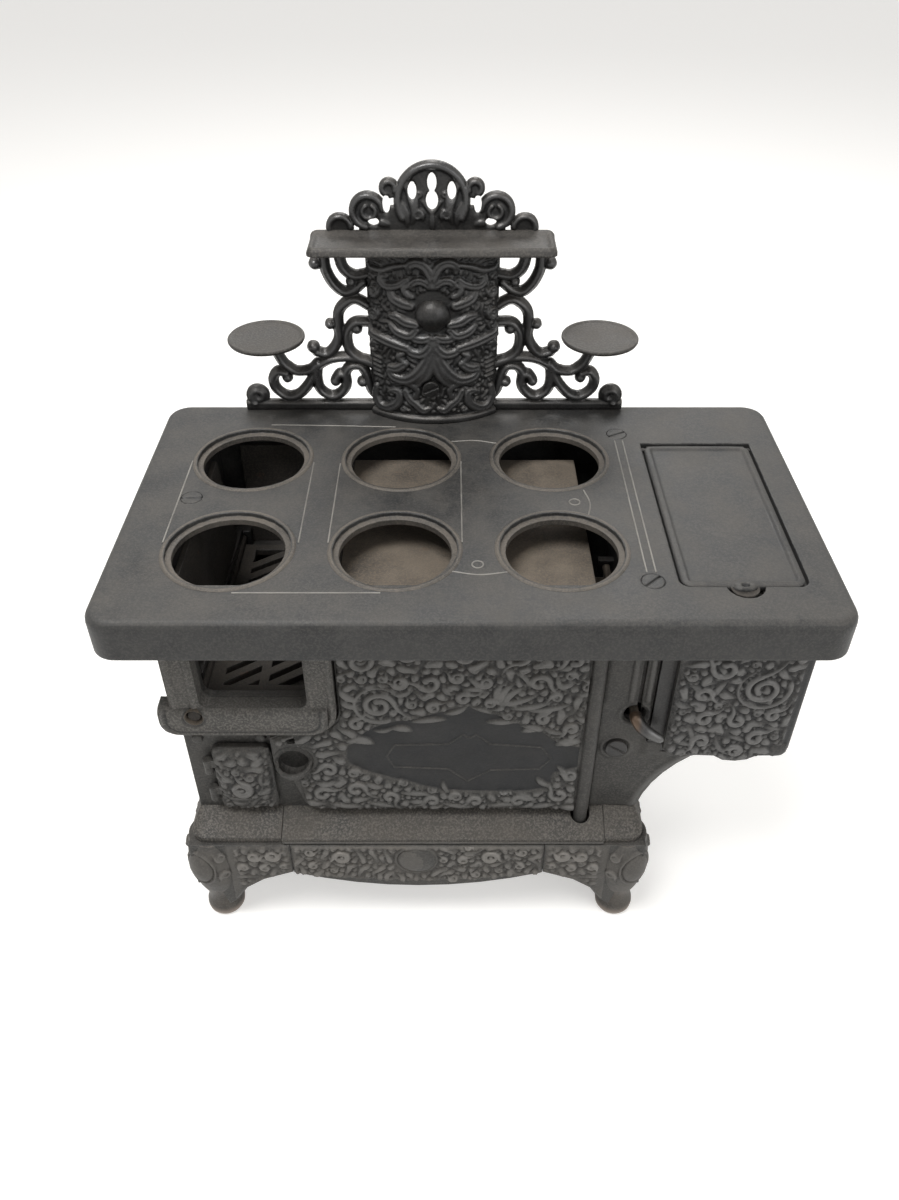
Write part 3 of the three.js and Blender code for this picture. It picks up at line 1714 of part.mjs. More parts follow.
function wingPieces(side) {
  const reach = highBack.halfLength;
  const y = highBack.railFront + highBack.rail / 2;
  const at = ([out, up]) => [highBack.middleX + side * out * reach, y, cooktop.height + up * wingHeight];
  const bars = wingBarShares.map((shares) =>
    bar(shares.map(at), highBack.barRadius, shares.length),
  );
  const knobs = wingKnobShares.map(([out, up, size]) => knob(size * highBack.knob, at([out, up])));
  const humpX = highBack.middleX + side * (reach - highBack.hump - 1.5 * seat);
  const humpZ = cooktop.height + highBack.railHeight + highBack.barRadius;
  const hump = cylinder(
    highBack.hump,
    [humpX, highBack.railFront, humpZ],
    [humpX, highBack.railFront + highBack.rail, humpZ],
    14,
  );
  const stileX = highBack.middleX + side * highBack.panelHalf;
  const stile = block(
    Math.min(stileX, stileX - side * highBack.stile),
    Math.max(stileX, stileX - side * highBack.stile),
    highBack.railFront - highBack.stile / 2,
    highBack.railFront + highBack.rail,
    cooktop.height + seat,
    panelTop,
  );
  const seatX = highBack.middleX + side * trivetOut;
  const trivetSeat = cylinder(
    trivet.lug,
    [seatX, y, trivetSeatTop - trivet.lug],
    [seatX, y, trivetSeatTop],
    12,
  );
  return [...bars, ...knobs, hump, stile, trivetSeat];
}

function highBackShape() {
  const foot = cooktop.height + seat;
  const railY = highBack.railFront;
  const rail = block(
    highBack.middleX - highBack.halfLength,
    highBack.middleX + highBack.halfLength,
    railY,
    railY + highBack.rail,
    foot,
    foot + highBack.railHeight,
  );
  const panel = bowedSheet(highBack.bow, highBack.panelHalf, highBack.panelWall, foot, panelTop);
  const lip = bowedSheet(
    highBack.bow + highBack.lip,
    highBack.panelHalf + highBack.lip,
    highBack.panelWall + highBack.lip,
    foot,
    foot + highBack.lipHeight,
  );
  const centre = [
    highBack.middleX,
    railY - highBack.ballForward,
    cooktop.height + highBack.ballShare * (shelf.top - cooktop.height),
  ];
  const boss = ball([highBack.ballRadius, highBack.ballRadius, highBack.ballRadius], centre, 16);
  const bossHollow = block(
    centre[0] - highBack.ballRadius,
    centre[0] + highBack.ballRadius,
    centre[1] + highBack.panelWall / 2,
    centre[1] + 2 * highBack.ballRadius,
    centre[2] - highBack.ballRadius,
    centre[2] + highBack.ballRadius,
  );
  const screwRoom = cylinder(
    bolt + seat,
    [backScrew.x, railY - 2 * highBack.bow, backScrew.z],
    [backScrew.x, railY + overrun, backScrew.z],
    10,
  );
  const whole = join([rail, panel, lip, boss.subtract(bossHollow), ...wingPieces(-1), ...wingPieces(1)]);
  const ceiling = block(
    highBack.middleX - cooktop.width,
    highBack.middleX + cooktop.width,
    railY - cooktop.depth,
    railY + cooktop.depth,
    panelTop,
    cooktop.height + cooktop.depth,
  );
  const floor = block(
    highBack.middleX - cooktop.width,
    highBack.middleX + cooktop.width,
    railY - cooktop.depth,
    railY + cooktop.depth,
    0,
    foot,
  );
  return cut(whole, [ceiling, floor, screwRoom]);
}

// Warming shelf with its pierced crest
const crest = { thickness: 4 };
// Shares of the shelf's half length: lobes of the crest by place out and up and radius, then the blocks
// that join them by place and half sizes, then its piercings by place and two radii
const crestLobeShares = [
  [0, 0.24, 0.31],
  [0.345, 0.34, 0.08],
  [0.52, 0.16, 0.155],
  [0.755, 0.03, 0.115],
];
const crestFillShares = [[0.3, 0.13, 0.3, 0.2]];
const crestHoleShares = [
  [0, 0.37, 0.036, 0.08],
  [0, 0.24, 0.044, 0.075],
  [0.15, 0.32, 0.034, 0.075],
  [0.36, 0.2, 0.03, 0.075],
  [0.47, 0.06, 0.045, 0.03],
];

function mirrored(shares) {
  return shares.flatMap(([out, ...rest]) => (out === 0 ? [[0, ...rest]] : [[out, ...rest], [-out, ...rest]]));
}

function warmingShelfShape() {
  const middle = highBack.middleX;
  const foot = shelf.top - shelf.thickness;
  const plate = prismZ(
    roundedRectangle(middle - shelf.half, middle + shelf.half, shelf.front, shelf.back, shelf.corner),
    foot,
    shelf.top + shelf.lip,
    4,
  );
  const dish = prismZ(
    roundedRectangle(
      middle - shelf.half + shelf.lipWidth,
      middle + shelf.half - shelf.lipWidth,
      shelf.front + shelf.lipWidth,
      shelf.back + overrun,
      shelf.corner - shelf.lipWidth,
    ),
    shelf.top,
    shelf.top + shelf.lip + overrun,
    4,
  );
  const crestFront = shelf.back - crest.thickness;
  const disc = (x, z, radiusX, radiusZ, minY, maxY, sides) => {
    const flat = new THREE.CylinderGeometry(1, 1, maxY - minY, sides).scale(radiusX, 1, radiusZ);
    return solid(flat.translate(x, (minY + maxY) / 2, z));
  };
  const at = (out, up) => [middle + out * shelf.half, shelf.top + up * shelf.half];
  const lobes = mirrored(crestLobeShares).map(([out, up, radius]) =>
    disc(...at(out, up), radius * shelf.half, radius * shelf.half, crestFront, shelf.back, 20),
  );
  const fill = mirrored(crestFillShares).map(([out, up, halfOut, halfUp]) => {
    const [x, z] = at(out, up);
    return block(
      x - halfOut * shelf.half,
      x + halfOut * shelf.half,
      crestFront,
      shelf.back,
      z - halfUp * shelf.half,
      z + (halfUp / 2) * shelf.half,
    );
  });
  const holes = mirrored(crestHoleShares).map(([out, up, radiusX, radiusZ]) =>
    disc(
      ...at(out, up),
      radiusX * shelf.half,
      radiusZ * shelf.half,
      crestFront - overrun,
      shelf.back + overrun,
      12,
    ),
  );
  const below = block(
    middle - shelf.half,
    middle + shelf.half,
    crestFront - overrun,
    shelf.back + overrun,
    cooktop.height,
    foot,
  );
  return cut(join([plate.subtract(dish), ...lobes, ...fill]), [...holes, below]);
}

// Trivet shelves: a shallow round dish on a lug that stands on the wing's strut
const trivet = { forward: 9, rise: 8, radius: 19.5, thickness: 2.5, rim: 0.6, rimWidth: 2, lug: 3.4 };
const trivetShares = { out: 0.8275, seatTop: 0.392 };
const trivetOut = trivetShares.out * highBack.halfLength;
const trivetSeatTop = cooktop.height + trivetShares.seatTop * wingHeight;
const trivetTop = trivetSeatTop + trivet.rise;
const trivetY = highBack.railFront - trivet.forward;

function trivetShape() {
  const dish = turned(
    [
      [0, -trivet.thickness],
      [trivet.radius - trivet.rim, -trivet.thickness],
      [trivet.radius, -trivet.thickness / 2],
      [trivet.radius, 0],
      [trivet.radius - trivet.rimWidth, 0],
      [trivet.radius - trivet.rimWidth - trivet.rim, -trivet.rim],
      [0, -trivet.rim],
    ],
    26,
  );
  const lugY = highBack.rail / 2 + trivet.forward;
  const lug = cylinder(
    trivet.lug,
    [0, lugY, seat - trivet.rise],
    [0, lugY, -trivet.thickness / 2],
    12,
  );
  return dish.add(lug);
}

function placeScrews() {
  for (const [name, { x, y }] of Object.entries(cooktopScrews)) {
    const turn = { front: 0.75, rear: 0.5, left: 0 }[name];
    place(
      `cooktop_screw_${name}`,
      slottedScrew(screw.headRadius, screw.length, turn),
      "iron",
      [x, y, cooktop.height],
    );
  }
  const forward = (shape) => solid(geometryOf(shape).rotateX(Math.PI / 2));
  place(
    "column_screw",
    forward(slottedScrew(columnScrewRadius, columnScrew.length, -0.6)),
    "iron",
    [columnScrew.x, front - seat - screw.headHeight, columnScrew.z],
  );
  place(
    "high_back_screw",
    forward(slottedScrew(backScrewRadius, backScrew.length, 0.4)),
    "iron",
    [backScrew.x, highBack.railFront - highBack.bow - screw.headHeight - seat, backScrew.z],
  );
  for (const { side, x, z } of rivetPlaces) {
    place(`mouth_rivet_${side}`, forward(rivetShape()), "iron", [x, front - seat, z]);
  }
}

function placeLegs() {
  for (const { name, x, y, signX, signY } of legPlaces()) {
    const shape = legShape(signY > 0 ? leg.outFront : leg.outSide);
    place(name, shape, "iron", [x, y, 0], [signX, signY, 1]);
    place(
      name.replace("leg", "leg_bolt"),
      legBoltShape(),
      "iron",
      [x + signX * leg.boltX, y + signY * leg.boltY, deck - base.plate - leg.pad - 2 * seat],
    );
  }
}

place("cooktop", cooktopShape(), "dustyIron");
place("reservoir_lid", reservoirLidShape(), "darkIron");
place("front_frame", frontFrameShape(), "iron");
place("left_end", leftEndShape(), "iron");
place("right_end", rightEndShape(), "iron");
place("back_plate", backPlateShape(), "iron");
place("base_plate", basePlateShape(), "dustyIron");
place("hearth_plate", hearthPlateShape(), "dustyIron");
placeLegs();
placeAprons();
place("fire_partition", partitionShape(), "iron");
placeOven();
placeLinings();
place("grate", grateShape(), "rustyIron");
place("fire_mouth_frame", mouthFrameShape(), "dustyIron");
place("ash_door", ashDoorShape(), "iron");
place("oven_door", ovenDoorShape(), "iron");
place("damper_shaft", damperShaftShape(), "rustyIron");
place("damper_lever", damperLeverShape(), "iron");
place("reservoir_bracket", bracketShape(), "iron");
place("reservoir_casing", casingShape(), "darkIron");
place("reservoir_front", reservoirFrontShape(), "iron");
place("reservoir_tank", tankShape(), "tinned");
place("high_back", highBackShape(), "darkIron");
place("warming_shelf", warmingShelfShape(), "darkIron");
place("trivet_left", trivetShape(), "darkIron", [highBack.middleX - trivetOut, trivetY, trivetTop]);
place("trivet_right", trivetShape(), "darkIron", [highBack.middleX + trivetOut, trivetY, trivetTop]);
placeScrews();

export default stove;
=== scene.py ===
import math
from types import SimpleNamespace

import bmesh
import bpy
import numpy as np
from mathutils.geometry import tessellate_polygon
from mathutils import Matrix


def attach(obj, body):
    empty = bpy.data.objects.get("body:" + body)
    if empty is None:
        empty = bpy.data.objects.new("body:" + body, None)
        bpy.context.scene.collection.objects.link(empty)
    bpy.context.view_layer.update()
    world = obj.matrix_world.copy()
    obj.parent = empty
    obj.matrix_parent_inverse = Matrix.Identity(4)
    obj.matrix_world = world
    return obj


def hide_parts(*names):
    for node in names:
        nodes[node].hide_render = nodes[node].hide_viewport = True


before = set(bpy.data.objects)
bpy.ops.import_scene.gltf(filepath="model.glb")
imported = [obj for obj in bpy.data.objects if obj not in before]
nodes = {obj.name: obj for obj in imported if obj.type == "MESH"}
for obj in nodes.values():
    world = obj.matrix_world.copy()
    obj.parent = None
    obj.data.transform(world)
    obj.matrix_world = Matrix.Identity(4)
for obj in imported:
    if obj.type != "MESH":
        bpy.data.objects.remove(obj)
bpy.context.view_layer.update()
scene = bpy.context.scene
mm = 0.001
print("frame loaded:", len(nodes), "nodes")

# the photograph's view, worked out from the stove's own edges (millimetres, degrees)
view = {"lens": 29.72, "place": (-9.2, -394.7, 494.3), "down": 39.96}
cameraData = bpy.data.cameras.new("camera")
cameraData.lens = view["lens"]
cameraData.sensor_width = 36
cameraData.clip_start = 0.01
camera = bpy.data.objects.new("camera", cameraData)
camera.location = [value * mm for value in view["place"]]
camera.rotation_euler = (math.radians(90 - view["down"]), 0, 0)
scene.collection.objects.link(camera)
scene.camera = camera
scene.view_settings.view_transform = "Standard"


def addNode(tree, kind, **settings):
    node = tree.nodes.new(kind)
    for key, value in settings.items():
        setattr(node, key, value)
    return node


def feed(tree, socket, source):
    # a socket takes another node's output, or a fixed value or colour
    if isinstance(source, bpy.types.NodeSocket):
        tree.links.new(source, socket)
    else:
        socket.default_value = (*source, 1) if isinstance(source, tuple) else source


def calculate(tree, operation, first, second=None, third=None, clamp=False):
    node = addNode(tree, "ShaderNodeMath", operation=operation, use_clamp=clamp)
    for place, source in enumerate((first, second, third)):
        if source is not None:
            feed(tree, node.inputs[place], source)
    return node.outputs[0]


def remap(tree, source, fromLow, fromHigh, toLow=0.0, toHigh=1.0):
    node = addNode(tree, "ShaderNodeMapRange", interpolation_type="SMOOTHSTEP")
    for place, value in enumerate((source, fromLow, fromHigh, toLow, toHigh)):
        feed(tree, node.inputs[place], value)
    return node.outputs[0]


def blendColours(tree, share, first, second):
    node = addNode(tree, "ShaderNodeMix", data_type="RGBA")
    feed(tree, node.inputs[0], share)
    feed(tree, node.inputs[6], first)
    feed(tree, node.inputs[7], second)
    return node.outputs[2]


def noise(tree, where, scale, detail, rough=0.55):
    node = addNode(tree, "ShaderNodeTexNoise")
    feed(tree, node.inputs["Vector"], where)
    feed(tree, node.inputs["Scale"], scale)
    node.inputs["Detail"].default_value = detail
    node.inputs["Roughness"].default_value = rough
    return node.outputs["Fac"]


def newGroup(name, inputs, outputs):
    group = bpy.data.node_groups.new(name, "ShaderNodeTree")
    for label, value in inputs:
        socket = group.interface.new_socket(name=label, in_out="INPUT", socket_type="NodeSocketFloat")
        socket.default_value = value
    for label, kind in outputs:
        group.interface.new_socket(name=label, in_out="OUTPUT", socket_type="NodeSocket" + kind)
    return group, addNode(group, "NodeGroupInput"), addNode(group, "NodeGroupOutput")


def makeCastSkin():
    # sand-cast surface: fine grain with pits, a speckle and a slow mottle
    group, given, result = newGroup(
        "castSkin",
        [("Grain", 900.0), ("Pits", 0.4), ("Mottle", 55.0)],
        [("Height", "Float"), ("Speckle", "Float"), ("Mottle", "Float")],
    )
    where = addNode(group, "ShaderNodeTexCoord").outputs["Object"]
    grain = noise(group, where, given.outputs["Grain"], 5)
    coarse = noise(group, where, calculate(group, "MULTIPLY", given.outputs["Grain"], 0.22), 4)
    pits = addNode(group, "ShaderNodeTexVoronoi", feature="F1")
    feed(group, pits.inputs["Vector"], where)
    feed(group, pits.inputs["Scale"], calculate(group, "MULTIPLY", given.outputs["Grain"], 0.6))
    pit = remap(group, pits.outputs["Distance"], 0.0, 0.35)
    pitted = calculate(group, "MULTIPLY_ADD", pit, given.outputs["Pits"], grain)
    feed(group, result.inputs["Height"], calculate(group, "MULTIPLY_ADD", coarse, 0.9, pitted))
    speckle = noise(group, where, given.outputs["Grain"], 2, 0.7)
    mottle = noise(group, where, given.outputs["Mottle"], 6, 0.6)
    feed(group, result.inputs["Speckle"], remap(group, speckle, 0.42, 0.66))
    feed(group, result.inputs["Mottle"], remap(group, mottle, 0.34, 0.68))
    return group


def makeRoundedEdge():
    # softens a casting's corners and marks where hands and cloths have rubbed them
    group, given, result = newGroup(
        "roundedEdge", [("Radius", 0.0009), ("Reach", 0.35)], [("Normal", "Vector"), ("Wear", "Float")]
    )
    bevel = addNode(group, "ShaderNodeBevel", samples=4)
    feed(group, bevel.inputs["Radius"], given.outputs["Radius"])
    geometry = addNode(group, "ShaderNodeNewGeometry")
    facing = addNode(group, "ShaderNodeVectorMath", operation="DOT_PRODUCT")
    feed(group, facing.inputs[0], bevel.outputs["Normal"])
    feed(group, facing.inputs[1], geometry.outputs["Normal"])
    turned = calculate(group, "SUBTRACT", 1.0, facing.outputs["Value"])
    where = addNode(group, "ShaderNodeTexCoord").outputs["Object"]
    broken = remap(group, noise(group, where, 160.0, 5), 0.35, 0.65)
    mask = remap(group, turned, 0.02, given.outputs["Reach"])
    feed(group, result.inputs["Normal"], bevel.outputs["Normal"])
    feed(group, result.inputs["Wear"], calculate(group, "MULTIPLY", mask, broken, clamp=True))
    return group


def makeSettledDust():
    # dust lies on faces that look up, thicker in drifts
    group, given, result = newGroup(
        "settledDust", [("Amount", 0.6), ("Drift", 45.0), ("Film", 0.12)], [("Mask", "Float")]
    )
    geometry = addNode(group, "ShaderNodeNewGeometry")
    parts = addNode(group, "ShaderNodeSeparateXYZ")
    feed(group, parts.inputs[0], geometry.outputs["Normal"])
    upward = remap(group, parts.outputs["Z"], 0.15, 0.95)
    where = addNode(group, "ShaderNodeTexCoord").outputs["Object"]
    drift = remap(group, noise(group, where, given.outputs["Drift"], 7, 0.65), 0.3, 0.72)
    specks = remap(group, noise(group, where, 1500.0, 3, 0.75), 0.48, 0.66)
    cover = calculate(group, "MULTIPLY_ADD", drift, 0.65, calculate(group, "MULTIPLY", specks, 0.5))
    lying = calculate(group, "MULTIPLY", upward, cover)
    film = calculate(group, "MULTIPLY", drift, given.outputs["Film"])
    total = calculate(group, "MULTIPLY_ADD", lying, given.outputs["Amount"], film)
    feed(group, result.inputs["Mask"], calculate(group, "MINIMUM", total, 0.95, clamp=True))
    return group


def makeRustBloom():
    # patchy rust with a speckled rim
    group, given, result = newGroup(
        "rustBloom", [("Amount", 0.2), ("Patch", 38.0)], [("Mask", "Float"), ("Colour", "Color")]
    )
    where = addNode(group, "ShaderNodeTexCoord").outputs["Object"]
    patch = noise(group, where, given.outputs["Patch"], 8, 0.68)
    low = calculate(group, "SUBTRACT", 0.86, calculate(group, "MULTIPLY", given.outputs["Amount"], 0.6))
    high = calculate(group, "ADD", low, 0.16)
    tone = noise(group, where, 700.0, 4, 0.7)
    feed(group, result.inputs["Mask"], remap(group, patch, low, high))
    feed(group, result.inputs["Colour"], blendColours(group, tone, (0.09, 0.035, 0.016), (0.26, 0.12, 0.055)))
    return group


castSkin = makeCastSkin()
roundedEdge = makeRoundedEdge()
settledDust = makeSettledDust()
rustBloom = makeRustBloom()


def placeGroup(tree, group, **values):
    node = addNode(tree, "ShaderNodeGroup", node_tree=group)
    for label, value in values.items():
        feed(tree, node.inputs[label], value)
    return node


def ironFinish(name, kind):
    material = bpy.data.materials.new(name)
    material.use_nodes = True
    tree = material.node_tree
    shader = tree.nodes["Principled BSDF"]
    skin = placeGroup(tree, castSkin, Grain=kind["grain"], Pits=kind["pits"], Mottle=kind["mottle"])
    edge = placeGroup(tree, roundedEdge, Radius=kind["edge"] * mm, Reach=0.3)
    dust = placeGroup(tree, settledDust, Amount=kind["dust"], Drift=kind["drift"], Film=kind["film"])
    rust = placeGroup(tree, rustBloom, Amount=kind["rust"], Patch=kind["patch"])
    relief = addNode(tree, "ShaderNodeAttribute", attribute_name="relief").outputs["Fac"]
    shade = addNode(tree, "ShaderNodeAttribute", attribute_name="shade").outputs["Fac"]
    # wear and painted highlight: raised relief lightens towards the worn colour, partly as wear on the high spots and
    # partly as painted highlight on the ridges; rubbed edges lighten the same way, and on the feet and the lever the
    # relief layer marks wear alone
    raisedWearAndHighlight = remap(tree, relief, 0.3, 0.95, 0.0, kind["wearAndHighlight"])
    wornAndHighlit = calculate(tree, "MAXIMUM", calculate(tree, "MULTIPLY", edge.outputs["Wear"], kind["wear"]), raisedWearAndHighlight)
    colour = blendColours(tree, skin.outputs["Mottle"], kind["dark"], kind["light"])
    speckled = calculate(tree, "MULTIPLY", skin.outputs["Speckle"], kind["speckle"])
    colour = blendColours(tree, speckled, colour, kind["speckColour"])
    colour = blendColours(tree, wornAndHighlit, colour, kind["wornAndHighlightColour"])
    # painted shade: this layer darkens hollows, grooves, gaps and sunk panels towards a near-black colour; on the
    # damper lever's root the same layer and colour give rust instead
    colour = blendColours(tree, calculate(tree, "MULTIPLY", shade, 0.85), colour, kind["shadeColour"])
    rusted = rust.outputs["Mask"]
    colour = blendColours(tree, rusted, colour, rust.outputs["Colour"])
    colour = blendColours(tree, dust.outputs["Mask"], colour, kind["dustColour"])
    feed(tree, shader.inputs["Base Color"], colour)
    shader.inputs["Metallic"].default_value = kind["metal"]
    shader.inputs["Specular IOR Level"].default_value = kind["sheen"]
    rough = calculate(tree, "MULTIPLY_ADD", skin.outputs["Mottle"], 0.12, kind["rough"])
    rough = calculate(tree, "SUBTRACT", rough, calculate(tree, "MULTIPLY", wornAndHighlit, 0.14))
    matt = calculate(tree, "MAXIMUM", dust.outputs["Mask"], rusted)
    rough = calculate(tree, "MULTIPLY_ADD", matt, 0.35, rough, clamp=True)
    feed(tree, shader.inputs["Roughness"], rough)
    bump = addNode(tree, "ShaderNodeBump")
    bump.inputs["Strength"].default_value = kind["bump"]
    bump.inputs["Distance"].default_value = 0.00022
    rise = calculate(tree, "MULTIPLY_ADD", matt, 0.35, skin.outputs["Height"])
    feed(tree, bump.inputs["Height"], rise)
    feed(tree, bump.inputs["Normal"], edge.outputs["Normal"])
    feed(tree, shader.inputs["Normal"], bump.outputs["Normal"])
    return material


plainIron = {
    "dark": (0.028, 0.028, 0.027), "light": (0.052, 0.051, 0.048), "wornAndHighlightColour": (0.15, 0.147, 0.142),
    "speckColour": (0.12, 0.112, 0.104), "dustColour": (0.17, 0.152, 0.132), "shadeColour": (0.009, 0.010, 0.012),
    "grain": 900.0, "pits": 0.4, "mottle": 55.0, "speckle": 0.35, "edge": 0.9, "wear": 0.6, "wearAndHighlight": 0.62,
    "dust": 0.35, "drift": 45.0, "film": 0.06, "rust": 0.16, "patch": 38.0, "metal": 0.35, "rough": 0.5, "bump": 0.5,
    "sheen": 0.38,
}
kinds = {
    "castFront": {},
    "legIron": {
        "dark": (0.043, 0.0415, 0.039), "light": (0.084, 0.08, 0.074), "shadeColour": (0.022, 0.0205, 0.019),
        "wornAndHighlightColour": (0.2, 0.19, 0.176), "speckle": 0.4, "dust": 0.5, "film": 0.14, "wearAndHighlight": 0.75,
    },
    "footIron": {
        "dark": (0.042, 0.039, 0.035), "light": (0.085, 0.075, 0.065), "wornAndHighlightColour": (0.25, 0.2, 0.165),
        "speckle": 0.45, "dust": 0.4, "film": 0.12, "wearAndHighlight": 0.9, "rust": 0.24,
    },
    "cooktopIron": {
        "dark": (0.0195, 0.0202, 0.021), "light": (0.036, 0.0362, 0.036), "speckColour": (0.085, 0.08, 0.073),
        "dustColour": (0.11, 0.1, 0.087), "speckle": 0.3, "dust": 0.42, "metal": 0.28, "rough": 0.44, "edge": 1.4,
        "bump": 0.26,
    },
    "blackIron": {
        "dark": (0.014, 0.014, 0.0145), "light": (0.029, 0.029, 0.029), "wornAndHighlightColour": (0.092, 0.092, 0.093),
        "speckColour": (0.07, 0.066, 0.062), "speckle": 0.25, "dust": 0.4, "film": 0.05, "rust": 0.1,
        "metal": 0.45, "rough": 0.32, "wearAndHighlight": 0.5, "sheen": 0.5,
    },
    "dustyCasting": {
        "dark": (0.04, 0.039, 0.037), "light": (0.08, 0.077, 0.072), "speckColour": (0.2, 0.188, 0.17),
        "dustColour": (0.15, 0.138, 0.122), "speckle": 0.55, "dust": 0.5, "film": 0.12, "rust": 0.14, "metal": 0.15,
        "rough": 0.58,
    },
    "bandIron": {
        "dark": (0.028, 0.0265, 0.0245), "light": (0.058, 0.0535, 0.048), "speckColour": (0.17, 0.155, 0.135),
        "dustColour": (0.11, 0.099, 0.086), "speckle": 0.6, "dust": 0.45, "film": 0.08, "rust": 0.16, "metal": 0.15,
        "rough": 0.58,
    },
    "reservoirIron": {
        "dark": (0.0205, 0.0205, 0.0207), "light": (0.042, 0.0415, 0.0405), "wornAndHighlightColour": (0.15, 0.148, 0.145),
        "dustColour": (0.135, 0.122, 0.107), "speckle": 0.3, "dust": 0.28, "film": 0.03, "metal": 0.38, "rough": 0.42,
        "wearAndHighlight": 0.68, "sheen": 0.45,
    },
    "rustyIron": {
        "dark": (0.045, 0.040, 0.034), "light": (0.085, 0.073, 0.059), "speckColour": (0.14, 0.105, 0.075),
        "dustColour": (0.175, 0.145, 0.113), "speckle": 0.5, "dust": 0.6, "film": 0.2, "rust": 0.4, "metal": 0.1,
        "rough": 0.7, "bump": 0.8,
    },
    "sootyIron": {
        "dark": (0.013, 0.012, 0.011), "light": (0.03, 0.027, 0.024), "speckColour": (0.07, 0.058, 0.047),
        "dustColour": (0.085, 0.073, 0.06), "speckle": 0.4, "dust": 0.4, "film": 0.12, "rust": 0.34, "metal": 0.15,
        "rough": 0.66, "bump": 0.8,
    },
    "dustyShelf": {
        "dark": (0.02, 0.0193, 0.0182), "light": (0.039, 0.0368, 0.034), "speckColour": (0.1, 0.091, 0.081),
        "dustColour": (0.088, 0.079, 0.069), "speckle": 0.5, "dust": 0.55, "film": 0.05, "metal": 0.3, "rough": 0.46,
        "edge": 0.6,
    },
    "rimIron": {
        "dark": (0.045, 0.042, 0.038), "light": (0.085, 0.076, 0.066), "wornAndHighlightColour": (0.17, 0.155, 0.14),
        "speckColour": (0.15, 0.13, 0.11), "dustColour": (0.17, 0.145, 0.118), "dust": 0.4, "rust": 0.28,
        "metal": 0.2, "rough": 0.55, "edge": 0.4, "wear": 0.8,
    },
    "lineIron": {
        "dark": (0.13, 0.125, 0.115), "light": (0.24, 0.23, 0.21), "wornAndHighlightColour": (0.3, 0.29, 0.27),
        "speckColour": (0.2, 0.19, 0.17), "dust": 0.2, "rust": 0.1, "edge": 0.2, "rough": 0.5,
    },
    "leverIron": {
        "dark": (0.03, 0.03, 0.031), "light": (0.06, 0.06, 0.06), "shadeColour": (0.13, 0.085, 0.055),
        "wornAndHighlightColour": (0.14, 0.14, 0.138), "speckle": 0.25, "dust": 0.12, "film": 0.02, "rust": 0.14, "metal": 0.6,
        "rough": 0.34, "wearAndHighlight": 0.6, "bump": 0.25,
    },
    "tinnedIron": {
        "dark": (0.3, 0.3, 0.29), "light": (0.42, 0.42, 0.41), "wornAndHighlightColour": (0.5, 0.5, 0.49),
        "speckColour": (0.28, 0.26, 0.24), "dustColour": (0.3, 0.27, 0.23), "speckle": 0.3, "dust": 0.4,
        "rust": 0.12, "metal": 0.8, "rough": 0.36, "bump": 0.2,
    },
}
finishes = {name: ironFinish(name, {**plainIron, **changes}) for name, changes in kinds.items()}

nodeFinish = {
    "cooktopIron": ["cooktop", "reservoir_lid", "cooktop_screw_front", "cooktop_screw_left", "cooktop_screw_rear"],
    "blackIron": [
        "reservoir_casing", "high_back", "high_back_screw", "warming_shelf", "trivet_left", "trivet_right",
        "column_screw", "damper_lever", "left_end", "back_plate", "right_end", "reservoir_bracket",
    ],
    "dustyCasting": ["fire_mouth_frame"],
    "bandIron": ["base_plate", "hearth_plate"],
    "rustyIron": [
        "oven_top", "oven_bottom", "damper_shaft", "oven_back", "oven_right_side",
    ],
    "sootyIron": ["grate", "fire_lining_left", "fire_lining_right", "fire_lining_rear", "fire_partition"],
    "tinnedIron": ["reservoir_tank"],
}
finishOf = {node: name for name, listed in nodeFinish.items() for node in listed}
for node, thing in nodes.items():
    thing.data.materials.clear()
    thing.data.materials.append(finishes[finishOf.get(node, "castFront")])
print("finishes made:", len(finishes))

studio = {
    "floorSize": 8.0,
    "floorColour": (0.66, 0.65, 0.63),
    "floorGlow": 0.5,
    "worldLight": 0.32,
    "lamps": [
        {"name": "keyLamp", "place": (-0.35, -0.35, 1.45), "aim": (0, 0, 0.15), "size": 0.6, "power": 20},
        {"name": "fillLamp", "place": (1.0, -0.9, 0.9), "aim": (0, 0, 0.15), "size": 1.0, "power": 7},
        {"name": "backLamp", "place": (0.1, 0.95, 1.25), "aim": (0, 0, 0.25), "size": 0.7, "power": 9},
    ],
}


def seenDirectly(tree):
    # one for rays from the camera, straight or by way of gloss or glass
    path = addNode(tree, "ShaderNodeLightPath")
    mirrored = calculate(tree, "MAXIMUM", path.outputs["Is Glossy Ray"], path.outputs["Is Transmission Ray"])
    return calculate(tree, "MAXIMUM", path.outputs["Is Camera Ray"], mirrored)


